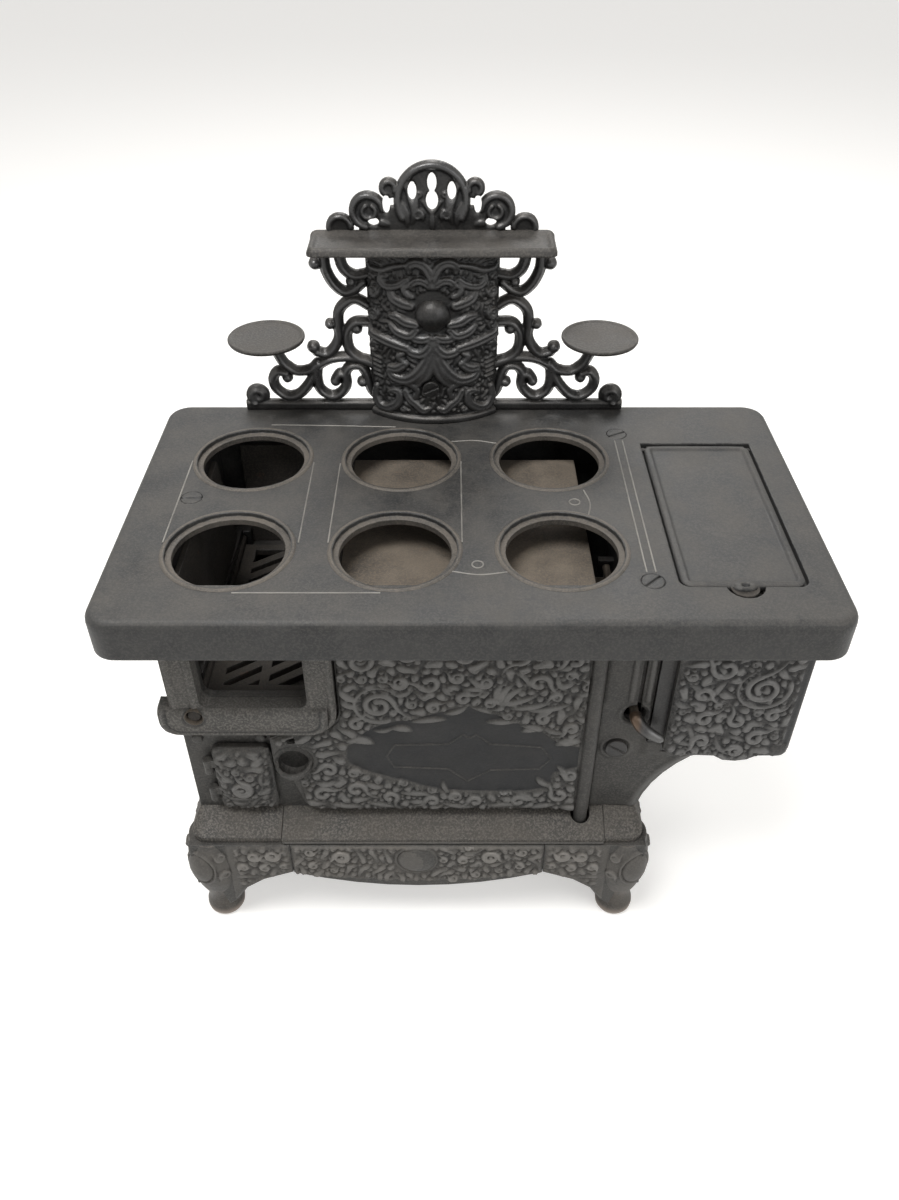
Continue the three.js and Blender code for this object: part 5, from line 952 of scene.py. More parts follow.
# Reservoir front: scrolls over the whole face, down to its scalloped foot
reservoirFront = {
    "step": 0.5, "faceY": -69.2, "back": -0.4, "ground": 0.5,
    "borderFrom": 152.6, "cornerTop": 130.5, "corner": (151.8, 126.4, 4.6),
    "mains": [
        (136.3, 168.8, 9.8, 0.3, 1.3), (116.5, 182, 7.4, 0.5, 0.8), (108.5, 165, 5.6, 0, 0.8),
        (112, 149, 5.4, 0.2, 0.8), (127.5, 148, 5.4, 0.4, 0.8), (112.5, 133.5, 5.6, 0.55, -0.8),
        (138.5, 135.5, 5.8, 0.2, 0.8), (143.8, 151.5, 4.8, 0.2, 0.8), (107.5, 198, 5.4, 0.25, -0.8),
        (126.5, 198.5, 5.6, 0.75, 0.8), (145, 195, 6.2, 0.1, 0.8),
    ],
    "rings": [(136.3, 168.8, 12.1, 0.33, 1.05)],
    "outline": [
        (95.9, 221.6), (95.9, 125.8), (98, 123.8), (102.5, 122.2), (113.8, 121.9), (121, 121.6), (126, 118.6),
        (132.1, 117.8), (138.2, 118.9), (142.5, 121.4), (150.6, 121.5), (154, 122.6), (155.7, 124.8),
        (156.1, 127.6), (156.1, 221.6),
    ],
    "curls": [
        (102.2, 176.7, 3.4, 200, 1.4), (117.1, 157.7, 2.9, 60, 1.4), (100.9, 153.6, 2.5, 150, 1.2),
        (100.4, 145.2, 1.9, 90, 1.3), (100.3, 139.2, 1.9, 60, 1.2), (136.5, 152.5, 3.1, 30, 1.2),
        (130.1, 126.5, 5, 150, -1.6), (117.3, 125.5, 2.6, 120, 1.2), (104.2, 124.8, 3, 180, -1.3),
        (148, 156.3, 2.1, 90, 1.2), (147.3, 136.5, 2.8, 30, -1.3), (129.5, 184.2, 2.8, 0, 1.2),
        (112, 211.5, 5.5, 180, 1.4), (129, 212.5, 5.8, 0, -1.4), (146, 208.5, 6.2, 120, 1.5),
        (100.5, 208, 4.2, 60, 1.2),
    ],
    "leaves": [
        (114.4, 164.5, 118.4, 173.8, 0.2, 1.62), (96, 160.5, 104.3, 156.4, -0.2, 1.4),
        (109.4, 160.5, 114.6, 163.2, 0.2, 1.26), (125.1, 136.6, 133.8, 132.2, 0.2, 1.3),
        (104.3, 143.8, 108, 132.2, 0.2, 1.3), (119.4, 135.1, 127.5, 123.2, -0.2, 1.3),
        (141.7, 142.3, 149.8, 140.9, 0.2, 1.2), (128.5, 160.5, 135, 156.3, 0.1, 1.26),
        (102, 171.2, 109.1, 161.8, 0.25, 1.44), (139.7, 152.2, 144.9, 154.9, 0.2, 1.17),
        (100.1, 132.2, 108.5, 129.2, 0.2, 1.3),
    ],
    "grid": (95, 157, 117, 222.5), "fill": (2.5, 1.0, 1.0, 11), "rim": (1.3, 0.6),
}


def makeReservoirFront():
    front = reservoirFront
    field = newField(*front["grid"], front["step"])
    field.outline = insidePolygon(field, front["outline"])
    raiseMainScrolls(field, front["mains"])
    raiseRings(field, front["rings"])
    raiseCurls(field, front["curls"])
    raiseLeaves(field, front["leaves"])
    fillWithLeaves(field, field.outline > -0.9, front["mains"] + front["curls"], *front["fill"])
    border = np.maximum(front["borderFrom"] - field.u, front["cornerTop"] - field.v)
    cornerX, cornerZ, cornerRadius = front["corner"]
    corner = np.hypot(field.u - cornerX, field.v - cornerZ) / cornerRadius
    field.raised = smoothed(field.raised, 1) * softStep(border, -0.6, 0.9) * softStep(corner, 0.85, 1.1)
    # painted shade: the plain band along the right-hand edge above the corner is darkened
    field.shade = 0.8 * softStep(-border, -0.6, 0.9)
    field.ground += 1.3 * bead(corner, 0, 1)
    field.ground += front["ground"]
    roundRim(field, *front["rim"])
    mesh = castMesh("reservoirRelief", field, facingFront(front["faceY"]), front["back"])
    addPiece(mesh, "stove", "reservoirIron")


# Ash door: one bold C-scroll with leaves on a domed panel
ashDoor = {
    "step": 0.45, "faceY": -67.65, "back": -0.4, "dome": 2.9,
    "outline": [
        (-126.6, 121), (-126.6, 84.5), (-123, 80.5), (-101.5, 80.5), (-98, 84.5), (-98, 121), (-101.5, 125.3),
        (-123, 125.3),
    ],
    "curls": [
        (-114.4, 98, 6.8, 70, -1.7), (-109.2, 107.4, 3.1, 200, 1.4), (-115.7, 111.1, 2.8, 100, 1.3),
        (-123.1, 82.6, 2.4, 0, 1.3), (-116.1, 80.8, 1.9, 180, 1.2), (-103.9, 85.7, 2.7, 150, -1.3),
    ],
    "leaves": [
        (-126.2, 118.6, -121, 112.8, -0.2, 1.4), (-127.4, 112.3, -120.5, 107.4, -0.2, 1.2),
        (-127.5, 106, -120.9, 102.5, -0.2, 1.26), (-127.7, 96, -121.6, 92.9, 0.2, 1.26),
        (-125.7, 87.3, -107.8, 89.3, 0.25, 1.2), (-107, 115.7, -101.3, 118, 0.2, 2.04),
        (-117.6, 120.9, -112.6, 120.9, 0, 0.6), (-112, 82.1, -104.9, 91.4, 0.2, 1.12),
        (-102.6, 110.3, -102.4, 98.5, -0.3, 1.12),
    ],
    "grid": (-128, -97, 79.5, 126.5), "fill": (2.4, 1.0, 0.9, 5), "rim": (1.4, 0.9),
}


def makeAshDoor():
    door = ashDoor
    field = newField(*door["grid"], door["step"])
    field.outline = insidePolygon(field, smoothPath(door["outline"] + door["outline"][:1], 60))
    share = np.hypot((field.u + 112.3) / 13.4, (field.v - 102.9) / 21.9)
    field.ground = door["dome"] * np.sqrt(np.clip(1 - share**2.6, 0, 1)) + 0.7
    raiseCurls(field, door["curls"])
    raiseLeaves(field, door["leaves"])
    fillWithLeaves(field, field.outline > -1.2, door["curls"], *door["fill"])
    field.raised = smoothed(field.raised, 1)
    roundRim(field, *door["rim"])
    mesh = castMesh("ashDoorRelief", field, facingFront(door["faceY"]), door["back"])
    addPiece(mesh, "ash_door", "castFront")


# Front apron: scrolls either side of a plain boss, above a scalloped lower edge
frontApron = {
    "step": 0.5, "faceY": -82.05, "back": -0.5, "boss": (-26.8, 54.1, 9.6, 9.6, 3.0), "top": 65.4,
    "curls": [
        (12.2, 56.7, 5.6, 0, 1.9), (-1.9, 54.4, 4, 60, 1.3), (27.6, 49.4, 3.5, 90, -1.3),
        (5, 41.9, 3.3, 180, 1.2), (-7.2, 38.4, 3.2, 180, 1.2), (17.2, 45.3, 2.7, 180, 1.1),
        (0.7, 65.5, 3.1, 0, 1.2), (28.7, 61.1, 3.7, 200, 1.2), (-12.6, 54.5, 3.2, 90, -1.2),
    ],
    "grid": (-92.5, 40.5, 31, 66), "fill": (1.9, 0.85, 0.8, 21), "rim": (1.2, 0.7), "outerFrom": 8,
}


def apronFoot(u, middle, half):
    # the dip of the apron's lower edge, with small scallops on it
    share = np.clip((u - middle) / half, -1, 1)
    return 36.0 + 7.0 * share**2 - 1.1 * np.abs(np.sin(share * math.pi * 5.5))


def makeFrontApron():
    apron = frontApron
    field = newField(*apron["grid"], apron["step"])
    u, v = field.u, field.v
    sides = np.maximum(-92.0 - u, u - 40.0)
    field.outline = np.maximum(np.maximum(apronFoot(u, -26, 66.3) - v, v - apron["top"]), sides)
    outer = [curl for curl in apron["curls"] if curl[0] > apron["outerFrom"]]
    curls = apron["curls"] + mirroredCurls(outer, apron["boss"][0])
    raiseCurls(field, curls)
    x, z, across, up, height = apron["boss"]
    boss = np.hypot((u - x) / across, (v - z) / up)
    fillWithLeaves(field, (field.outline > -0.8) | (boss < 1.35), curls, *apron["fill"])
    field.raised = smoothed(field.raised, 1) * softStep(boss, 1.1, 1.3)
    raiseDome(field, x, z, across, up, height, rim=0.9)
    field.ground += 0.9 * bell(field.outline, -1.4, 0.9)
    roundRim(field, *apron["rim"])
    mesh = castMesh("apronRelief", field, facingFront(apron["faceY"]), apron["back"])
    addPiece(mesh, "stove", "legIron")


# Legs: ornamented wings, a smooth knee with an oval boss, and a rounded foot
legs = {
    "step": 0.6, "boss": (-4.2, 48.0, 7.6, 10.2, 2.4),
    "places": {"FrontLeft": (-135.5, -71.5, 1, 1, 10.5), "FrontRight": (83.5, -71.5, -1, 1, 10.5),
               "RearLeft": (-135.5, 75.5, 1, -1, 9.5), "RearRight": (83.5, 75.5, -1, -1, 9.5)},
    "edge": [
        (9, 17.5), (10.4, 18.6), (16.4, 28.6), (26.7, 36.4), (42.6, 42.9),
    ],
    "curls": [
        (33.3, 58, 4.9, 0, -1.6), (23.6, 57.2, 4.4, 340, -1.4), (28.6, 47.6, 3.8, 90, 1.2),
        (17, 48, 4, 200, -1.3), (38.6, 49, 3, 60, 1.2), (13.6, 60.3, 3.4, 90, 1.2),
    ],
    "profile": [
        (0, 0.15), (7.4, 0.15), (9.1, 0.7), (9.9, 2.2), (10.2, 4.4), (9.9, 7), (9, 9.4), (8.5, 12), (8.5, 16),
        (9.2, 19.5), (10.6, 23), (12, 27.5), (13.2, 33), (13.9, 40), (14, 46), (13.6, 52.5), (12.9, 58),
        (11.7, 62.5), (11.2, 65.4), (0, 65.4),
    ],
    "grid": (8, 43, 17, 66), "kneeGrid": (-24, 24, 25, 65), "fill": (1.9, 0.85, 0.75, 31), "rim": (1.1, 0.6),
    "kneeCurls": [
        (10.5, 57.5, 3.6, 180, 1.4), (11.5, 41.0, 4.2, 200, -1.4), (-17.0, 57.0, 3.6, 0, -1.4),
        (-17.5, 43.0, 3.8, 340, 1.4),
    ],
}


def turnedMesh(name, profile, segments, centre=(0, 0, 0)):
    # a profile of [radius, height] points turned about an upright axis, closed where it reaches that axis
    rows = [(r, z) for r, z in profile if r > 0]
    closed = profile[0][0] == 0
    angles = 2 * math.pi * np.arange(segments) / segments
    points = [(r * math.cos(a), r * math.sin(a), z) for r, z in rows for a in angles]
    faces = tubeFaces(len(rows), segments, not closed)
    if closed:
        points += [(0, 0, profile[0][1]), (0, 0, profile[-1][1])]
        faces += pointedCaps(len(rows), segments)
    return finishMesh(meshFrom(name, [[a + b for a, b in zip(point, centre)] for point in points], faces))


def makeLegs():
    heights = [z for _, z in legs["profile"]]
    radii = [r for r, _ in legs["profile"]]
    wing = newField(*legs["grid"], legs["step"])
    corners = [(8.6, 65.4)] + legs["edge"] + [(42.6, 65.4)]
    wing.outline = insidePolygon(wing, corners)
    edge = insidePolygon(wing, [(-20, 90), (-20, 12.5)] + legs["edge"] + [(80, 50), (80, 90)])
    raiseCurls(wing, legs["curls"])
    fillWithLeaves(wing, (wing.outline > -0.8) | (edge > -2.4), legs["curls"], *legs["fill"])
    wing.raised = smoothed(wing.raised, 1) * softStep(wing.u, 12.0, 14.5)
    wing.ground = 0.2 + bell(edge, -1.5, 0.9)
    roundRim(wing, *legs["rim"])
    shell = newField(*legs["kneeGrid"], legs["step"])
    shell.outline = np.maximum(np.abs(shell.u) - 23.5, np.maximum(25.5 - shell.v, shell.v - 65.2))
    bossX, bossZ, across, up, height = legs["boss"]
    raiseDome(shell, bossX, bossZ, across, up, height)
    oval = np.hypot((shell.u - bossX) / across, (shell.v - bossZ) / up)
    shell.raised = np.maximum(shell.raised, bead(oval, 1.16, 0.1))
    raiseCurls(shell, legs["kneeCurls"], 0.7)
    fade = softStep(-shell.outline, 0.2, 2.0)
    shell.raised *= fade
    shell.ground *= fade
    for label, (x, y, signX, signY, out) in legs["places"].items():
        def onFront(u, v, h):
            return (x + signX * u, y - signY * (out + h), v)

        def onSide(u, v, h):
            return (x - signX * (9.5 + h), y + signY * u, v)

        def onKnee(u, v, h):
            reach = float(np.interp(v, heights[1:-1], radii[1:-1])) + h
            angle = u / 13.5 + math.pi / 4
            return (x - signX * reach * math.sin(angle), y - signY * reach * math.cos(angle), v)

        front = castMesh("legFront" + label, wing, onFront, -0.4)
        side = castMesh("legSide" + label, wing, onSide, -0.4)
        knee = castMesh("legKnee" + label, shell, onKnee, -0.6, fullBack=True)
        for mesh in (front, side, knee):
            addPiece(mesh, "stove", "legIron")
        foot = turnedMesh("legFoot" + label, legs["profile"], 56, (x, y, 0))
        low = np.array([vert.co.z / mm for vert in foot.vertices])
        addLayer(foot, "relief", np.clip(1.15 - low / 9, 0, 1))
        addPiece(foot, "stove", "footIron")


makeReservoirFront()
makeAshDoor()
makeFrontApron()
makeLegs()
print("front castings made")


# High back: a bowed panel of leaves round a ball, between open scroll wings that stand on a rail
highBack = {
    "middle": -17.5, "foot": 227.35, "panelTop": 320.15, "radius": 50.0, "centreY": 122.0, "halfArc": 35.2,
    "panelStep": 0.5, "wall": 3.2, "lipTop": 230.6, "lip": 2.0,
    "wingReach": 102.0, "wingY": 85.7, "wingBack": -2.9, "wingStep": 0.55, "bar": 2.75, "ridge": 2.0,
    "railTop": 232.6, "hump": (95.1, 235.2, 6.3), "trivetSeat": (84.4, 264.2, 267.0, 3.2),
    "strokes": {
        "palmetteTop": [(0.5, 302.2), (-1.1, 307.4), (-3.7, 312.0), (-7.5, 313.4), (-10.9, 311.9), (-11.3, 308.9)],
        "palmetteSmall": [(-1.6, 301.8), (-4.5, 304.2), (-7.8, 304.4), (-10.2, 302.2), (-9.3, 300.4)],
        "sScroll": [(-12.7, 304.7), (-17.3, 301.4), (-23.2, 300.3), (-26.4, 302.4), (-25.7, 305.2), (-23.0, 305.4)],
        "topLine": [(-12.9, 311.9), (-19.2, 310.3), (-25.1, 307.8), (-31.6, 307.6), (-33.7, 309.5)],
        "leafUp": [(-10.8, 291.4), (-14.9, 292.3), (-19.8, 294.4), (-21.9, 298.1)],
        "leafUp2": [(-10.0, 296.3), (-12.6, 297.4), (-14.0, 300.0), (-11.5, 302.2)],
        "leafMid": [(-8.3, 281.8), (-13.8, 282.7), (-18.0, 284.9), (-21.7, 285.2)],
        "leafMid2": [(-8.3, 279.0), (-11.9, 275.8), (-18.3, 277.1), (-21.9, 280.0)],
        "sweep": [(-13.2, 268.8), (-20.0, 270.2), (-27.8, 271.9), (-33.9, 273.5), (-36.0, 277.2)],
        "sweep2": [(-1.6, 275.4), (-5.0, 274.2), (-9.2, 274.6), (-10.5, 277.4)],
        "cLeaf": [(-0.9, 274.4), (-2.1, 269.9), (-5.9, 266.5), (-10.8, 266.8), (-13.5, 269.1)],
        "bud": [(-14.5, 260.1), (-19.1, 257.0), (-23.7, 256.8)],
        "budTop": [(-15.9, 261.3), (-18.0, 264.0), (-15.0, 265.9)],
        "fanOuter": [(-1.4, 268.5), (-3.5, 262.5), (-8.2, 255.5), (-14.0, 251.4), (-20.8, 251.8), (-23.8, 254.5)],
        "fanInner": [(-1.0, 266.3), (-2.2, 258.8), (-4.7, 253.4), (-8.3, 249.4)],
        "chain": [(-14.9, 244.7), (-12.8, 240.3), (-9.4, 237.6), (-5.8, 234.3), (-2.6, 235.2)],
        "cBottom": [
            (-32.2, 243.7), (-32.9, 238.0), (-30.0, 233.3), (-24.8, 233.2), (-19.0, 237.7), (-18.4, 243.3),
            (-21.9, 243.8),
        ],
        "branch": [(-9.2, 242.3), (-8.4, 246.3), (-11.9, 249.0), (-16.3, 249.5), (-20.1, 247.7)],
        "stem": [(0.7, 275.0), (0.6, 266.3), (0.5, 257.3)],
    },
    "halves": {"palmetteTop": 1.9, "palmetteSmall": 1.5, "sScroll": 1.5, "topLine": 1.2,
               "leafUp": 1.9, "leafUp2": 1.3, "leafMid": 1.8, "leafMid2": 1.7, "sweep": 2.0, "sweep2": 1.6,
               "cLeaf": 1.9, "bud": 1.8, "budTop": 1.3,
               "fanOuter": 2.2, "fanInner": 2.2, "chain": 1.5, "cBottom": 1.8, "branch": 1.3, "stem": 1.3},
    "curls": [(-31.1, 296.2, 4.0, 0, -1.6), (-32.1, 303.1, 2.6, 0, 1.2), (-31.8, 284.5, 4.2, 20, -1.7),
              (-32.0, 266.4, 3.9, 60, 1.3), (-21.5, 249.8, 2.4, 200, 1.5), (-22.8, 242.2, 2.6, 180, -1.4),
              (-16.1, 233.9, 2.2, 180, 1.3), (-25.9, 276.7, 1.8, 0, 1.1), (-9.2, 242.3, 2.4, 60, 1.3)],
    "ribs": [(250.0, 0.9), (252.6, 0.9), (255.2, 0.9), (257.8, 0.9), (260.4, 0.9)],
    "ball": {"z": 286.8, "y": 75.6, "radius": 9.4, "ring": 10.8},
    # bar centre lines and knobs: out from the middle and up from the foot, as shares of the rail's half length
    "bars": [
        [(0.52, 0.905), (0.525, 0.79), (0.51, 0.73), (0.48, 0.68), (0.44, 0.65), (0.39, 0.66), (0.34, 0.7)],
        [(0.45, 0.905), (0.45, 0.82), (0.43, 0.76), (0.38, 0.73), (0.31, 0.74)],
        [(0.31, 0.57), (0.38, 0.61), (0.43, 0.595), (0.47, 0.55), (0.48, 0.48), (0.48, 0.41), (0.51, 0.35),
         (0.55, 0.32), (0.6, 0.33)],
        [(0.31, 0.49), (0.39, 0.49), (0.43, 0.45), (0.44, 0.4), (0.43, 0.34), (0.39, 0.3), (0.31, 0.26)],
        [(0.29, 0.26), (0.35, 0.285), (0.44, 0.3), (0.53, 0.29), (0.6, 0.25), (0.63, 0.19), (0.67, 0.13),
         (0.72, 0.085), (0.78, 0.08), (0.83, 0.12), (0.84, 0.18), (0.81, 0.22), (0.77, 0.21)],
        [(0.6, 0.26), (0.61, 0.19), (0.6, 0.12), (0.55, 0.08), (0.5, 0.09), (0.46, 0.14), (0.46, 0.21),
         (0.43, 0.25), (0.38, 0.25), (0.35, 0.2), (0.33, 0.12), (0.3, 0.08)],
        [(0.46, 0.2), (0.49, 0.205), (0.515, 0.17)],
        [(0.825, 0.38), (0.79, 0.29), (0.76, 0.25), (0.71, 0.22), (0.64, 0.23), (0.6, 0.265)],
    ],
    "knobs": [
        (0.57, 0.79, 1.05), (0.4, 0.7, 0.9), (0.52, 0.48, 0.9), (0.387, 0.455, 0.95), (0.615, 0.355, 1.1),
        (0.515, 0.165, 0.95), (0.375, 0.16, 0.95), (0.765, 0.185, 0.95), (0.82, 0.36, 1),
    ], "fill": (1.2, 0.55, 0.7, 17), "wingRim": (1.5, 1.3),
    "screw": (-1.3, 247.3, 4.4, 5.8), "wingSpan": (28, 103),
}


def growPanelStroke(field, points, half):
    path = smoothPath(points, 6 * len(points))
    t = np.linspace(0, 1, len(path))
    halves = 1.5 * half * (0.35 + 0.65 * np.sin(math.pi * (0.18 + 0.72 * t)) ** 0.8)
    raiseStroke(field, path, halves, 1.2 + 0.8 * half, groove=0.8 if half > 1.4 else 0.3)


def makePanel():
    back = highBack
    arc = back["halfArc"]
    field = newField(-arc, arc, back["foot"], back["panelTop"], back["panelStep"])
    u, v = field.u, field.v
    sides = np.abs(u) - arc + 0.2
    field.outline = np.maximum(sides, np.maximum(back["foot"] + 0.1 - v, v - back["panelTop"] + 0.1))
    for name, points in back["strokes"].items():
        half = back["halves"][name]
        growPanelStroke(field, points, half)
        if name != "stem":
            growPanelStroke(field, [(-x, z) for x, z in points], half)
    both = back["curls"] + mirroredCurls(back["curls"])
    raiseCurls(field, both, 1.1, 0.8)
    for z, half in back["ribs"]:
        for side in (-1, 1):
            raiseStroke(field, [(side * 28.5, z), (side * 33.6, z + 0.6)], [half, half], 1.1)
    ball = back["ball"]
    bare = (np.hypot(u, v - ball["z"]) < 13) | (v < back["lipTop"] + 1.5) | (np.abs(u) > arc - 1.2)
    bare |= v > back["panelTop"] - 1.5
    fillWithLeaves(field, bare, both, *back["fill"])
    screwX, screwZ, screwRadius, screwRoom = back["screw"]
    screw = softStep(np.hypot(u - screwX, v - screwZ), screwRadius, screwRoom)
    field.raised = smoothed(field.raised, 1) * softStep(v, back["lipTop"] - 0.2, back["lipTop"] + 1.4) * screw
    lip = np.clip((back["lipTop"] - v) / 3.2, 0, 1)
    field.ground = back["lip"] * bead((1 - 2 * lip).clip(0, 1), 0, 1) * (v < back["lipTop"])

    def onBow(a, b, h):
        reach = back["radius"] + h
        turn = a / back["radius"]
        return (back["middle"] + reach * math.sin(turn), back["centreY"] - reach * math.cos(turn), b)

    mesh = castMesh("highBackPanel", field, onBow, -back["wall"], fullBack=True)
    addPiece(mesh, "stove", "blackIron", ["high_back"])
    radius, ring = ball["radius"], ball["ring"]
    angles = np.linspace(0, math.pi / 2, 12)
    profile = [(0, -4.5), (ring, -4.5), (ring + 0.6, -3.2), (ring + 0.3, -2.0), (ring - 0.9, -1.6)]
    profile += [(radius * math.cos(a), radius * 0.98 * math.sin(a)) for a in angles[:-1]] + [(0, radius * 0.98)]
    mesh = turnedMesh("highBackBall", profile, 48)
    turnForward(mesh, (back["middle"], ball["y"], ball["z"]))
    addPiece(mesh, "stove", "blackIron")


def turnForward(mesh, centre):
    # from upright to facing the front, then to its place
    spots = np.empty(len(mesh.vertices) * 3)
    mesh.vertices.foreach_get("co", spots)
    spots = spots.reshape(-1, 3)
    placed = np.stack([spots[:, 0], -spots[:, 2], spots[:, 1]], axis=1) + np.array(centre) * mm
    mesh.vertices.foreach_set("co", placed.ravel())
    mesh.update()


def makeWings():
    back = highBack
    reach = back["wingReach"]
    for label, side in (("Left", -1), ("Right", 1)):
        field = newField(*back["wingSpan"], back["foot"], back["panelTop"], back["wingStep"])
        u, v = field.u, field.v
        for shares in back["bars"]:
            path = smoothPath([(x * reach, 227 + z * reach) for x, z in shares], 7 * len(shares))
            halves = np.full(len(path), back["bar"])
            growOutline(field, path, halves)
            raiseStroke(field, path, halves * 0.62, back["ridge"])
        for x, z, size in back["knobs"]:
            centre = np.array([[x * reach, 227 + z * reach], [x * reach + 0.05, 227 + z * reach]])
            growOutline(field, centre, [3.0 * size] * 2)
            raiseStroke(field, centre, [2.6 * size] * 2, 2.3)
        humpX, humpZ, humpRadius = back["hump"]
        hump = np.array([[humpX, humpZ], [humpX + 0.05, humpZ]])
        growOutline(field, hump, [humpRadius] * 2)
        curl, halves = curlPath(humpX - 0.3, humpZ + 0.1, 5.4, 300, 1.2, 0)
        raiseStroke(field, curl, halves * 1.1, 1.6)
        seatX, seatLow, seatTop, seatHalf = back["trivetSeat"]
        growOutline(field, np.array([[seatX, seatLow], [seatX, seatTop - seatHalf]]), [seatHalf] * 2)
        rail = np.maximum(v - back["railTop"], u - reach + 0.2)
        field.outline = np.minimum(field.outline, rail)
        stile = np.maximum(np.maximum(29.4 - u, u - 33.2), v - back["panelTop"])
        field.outline = np.minimum(field.outline, stile)
        bounds = np.maximum(back["foot"] - v, v - back["panelTop"])
        field.outline = np.maximum(field.outline, np.maximum(bounds, 29.4 - u))
        field.raised = smoothed(field.raised, 1)
        low = np.clip((back["railTop"] - v) / 2.6, 0, 1) * (v < back["railTop"] + 0.5)
        field.ground = softStep(low, 0.0, 0.6)
        roundRim(field, *back["wingRim"])

        def onWing(a, b, h):
            return (back["middle"] + side * a, back["wingY"] - h, b)

        mesh = castMesh("highBackWing" + label, field, onWing, back["wingBack"], fullBack=True)
        addPiece(mesh, "stove", "blackIron")


# Warming shelf and its pierced crest
crest = {
    "middle": -17.5, "half": 59.0, "shelfTop": 323.5, "front": 61.1, "back": 88.1, "step": 0.45, "faceY": 86.2,
    "rear": -2.2,
    "lobes": [(0, 0.24, 0.31), (0.345, 0.34, 0.08), (0.52, 0.16, 0.155), (0.755, 0.03, 0.115)],
    "rims": [  # centre out and up, radius, start and end in degrees, half width, height
        (0, 14.2, 16.3, -28, 208, 1.75, 1.9), (20.4, 20.1, 3.0, -60, 200, 1.3, 1.4),
        (30.7, 9.4, 7.3, -80, 170, 1.6, 1.7),
        (44.5, 1.8, 5.2, -10, 175, 1.3, 1.5), (30.2, 9.2, 3.2, 120, 420, 1.1, 1.4)],
    "leaves": [(13.5, 24.0, 9.5, 4.0, -0.28, 2.2), (15.3, 14.0, 12.0, 2.5, -0.2, 1.6), (0, 1.0, 0, 9.5, 0, 1.3),
               (0.5, 8.5, 5.2, 14.5, 0.2, 1.1), (21.0, 3.0, 26.5, 3.6, 0.3, 1.3), (36.0, 2.5, 40.0, 3.8, 0.2, 1.2)],
    "curls": [(6.8, 7.9, 3.5, 200, -1.3), (6.2, 17.0, 2.0, 60, 1.1)],
    "holes": [(0, 22.6, 2.2, 4.6), (0, 14.4, 2.9, 4.6), (9.4, 18.8, 2.1, 4.4), (21.8, 12.6, 1.8, 4.4),
              (28.2, 4.4, 2.7, 1.9)], "rim": (1.0, 0.8), "shelfRim": (2.4, 1.9),
    "grid": (-54, 54, 320.5, 357), "foot": 2.6, "shelfStep": 0.6, "shelfCorner": 4.0,
    "shelfFoot": 320.6, "shelfRise": 2.2,
}


def makeCrest():
    field = newField(*crest["grid"], crest["step"])
    u, v = field.u, field.v - crest["shelfTop"]
    half = crest["half"]
    outline = np.maximum(np.abs(u) - 0.6 * half, v - 0.2 * half)
    for out, up, radius in crest["lobes"]:
        for side in (-1, 1):
            lobe = np.hypot(u - side * out * half, v - up * half) - radius * half
            outline = np.minimum(outline, lobe)
    outline = np.maximum(outline, -crest["foot"] - v)
    for out, up, across, tall in crest["holes"]:
        for side in (-1, 1):
            hole = np.hypot((u - side * out) / across, (v - up) / tall)
            outline = np.maximum(outline, (1 - hole) * min(across, tall))
    field.outline = outline
    for side in (-1, 1):
        for out, up, radius, start, end, width, height in crest["rims"]:
            angles = np.radians(np.linspace(start, end, 30))
            path = np.stack([side * (out + radius * np.cos(angles)), up + radius * np.sin(angles)], axis=1)
            path[:, 1] += crest["shelfTop"]
            raiseStroke(field, path, [width] * 30, height)
        place = crest["shelfTop"]
        raiseLeaves(field, [(side * a, b + place, side * c, d + place, side * bow, w)
                            for a, b, c, d, bow, w in crest["leaves"]])
        raiseCurls(field, [(side * a, b + place, r, start if side > 0 else 180 - start, side * turns)
                           for a, b, r, start, turns in crest["curls"]], 1.0, 0.6)
    field.raised = smoothed(field.raised, 1)
    roundRim(field, *crest["rim"])

    def onCrest(a, b, h):
        return (crest["middle"] + a, crest["faceY"] - h, b)

    mesh = castMesh("warmingCrest", field, onCrest, crest["rear"], fullBack=True)
    addPiece(mesh, "stove", "blackIron", ["warming_shelf"])


def makeShelf():
    # a shallow trough with a rounded front lip that rises into the crest at the back
    field = newField(-crest["half"], crest["half"], crest["front"], crest["back"], crest["shelfStep"])
    side = crest["half"] - 0.1
    field.outline = roundedBox(field, -side, side, crest["front"], crest["back"], crest["shelfCorner"])
    lip = 1.3 * bell(-field.outline, 2.2, 1.5)
    rise = 1.6 * softStep(field.v, 79.5, 86.5)
    field.ground = crest["shelfRise"] + np.maximum(lip, rise)
    roundRim(field, *crest["shelfRim"])

    def onShelf(a, b, h):
        return (crest["middle"] + a, b, crest["shelfFoot"] + h)

    mesh = castMesh("warmingShelfPlate", field, onShelf, -0.42, fullBack=True)
    addPiece(mesh, "stove", "dustyShelf")


trivet = {
    "out": 84.4, "y": 75.0, "stemY": 86.2, "top": 275.0,
    "profile": [(0, -2.5), (3.4, -2.6), (14.0, -2.5), (17.6, -2.4), (19.0, -2.0), (19.45, -1.2), (19.4, -0.5),
                (19.0, -0.05), (18.4, 0.0), (17.7, -0.12), (17.1, -0.5), (16.4, -0.62), (0, -0.6)],
    "stem": [(0, -7.6), (3.3, -7.6), (3.3, -5.0), (3.6, -3.2), (4.4, -2.2), (0, -2.2)],
}


def makeTrivets():
    for label, side in (("left", -1), ("right", 1)):
        x = highBack["middle"] + side * trivet["out"]
        dish = turnedMesh("trivetDish_" + label, trivet["profile"], 72, (x, trivet["y"], trivet["top"]))
        addPiece(dish, "stove", "dustyShelf", ["trivet_" + label])
        stem = turnedMesh("trivetStem_" + label, trivet["stem"], 28, (x, trivet["stemY"], trivet["top"]))
        addPiece(stem, "stove", "blackIron")


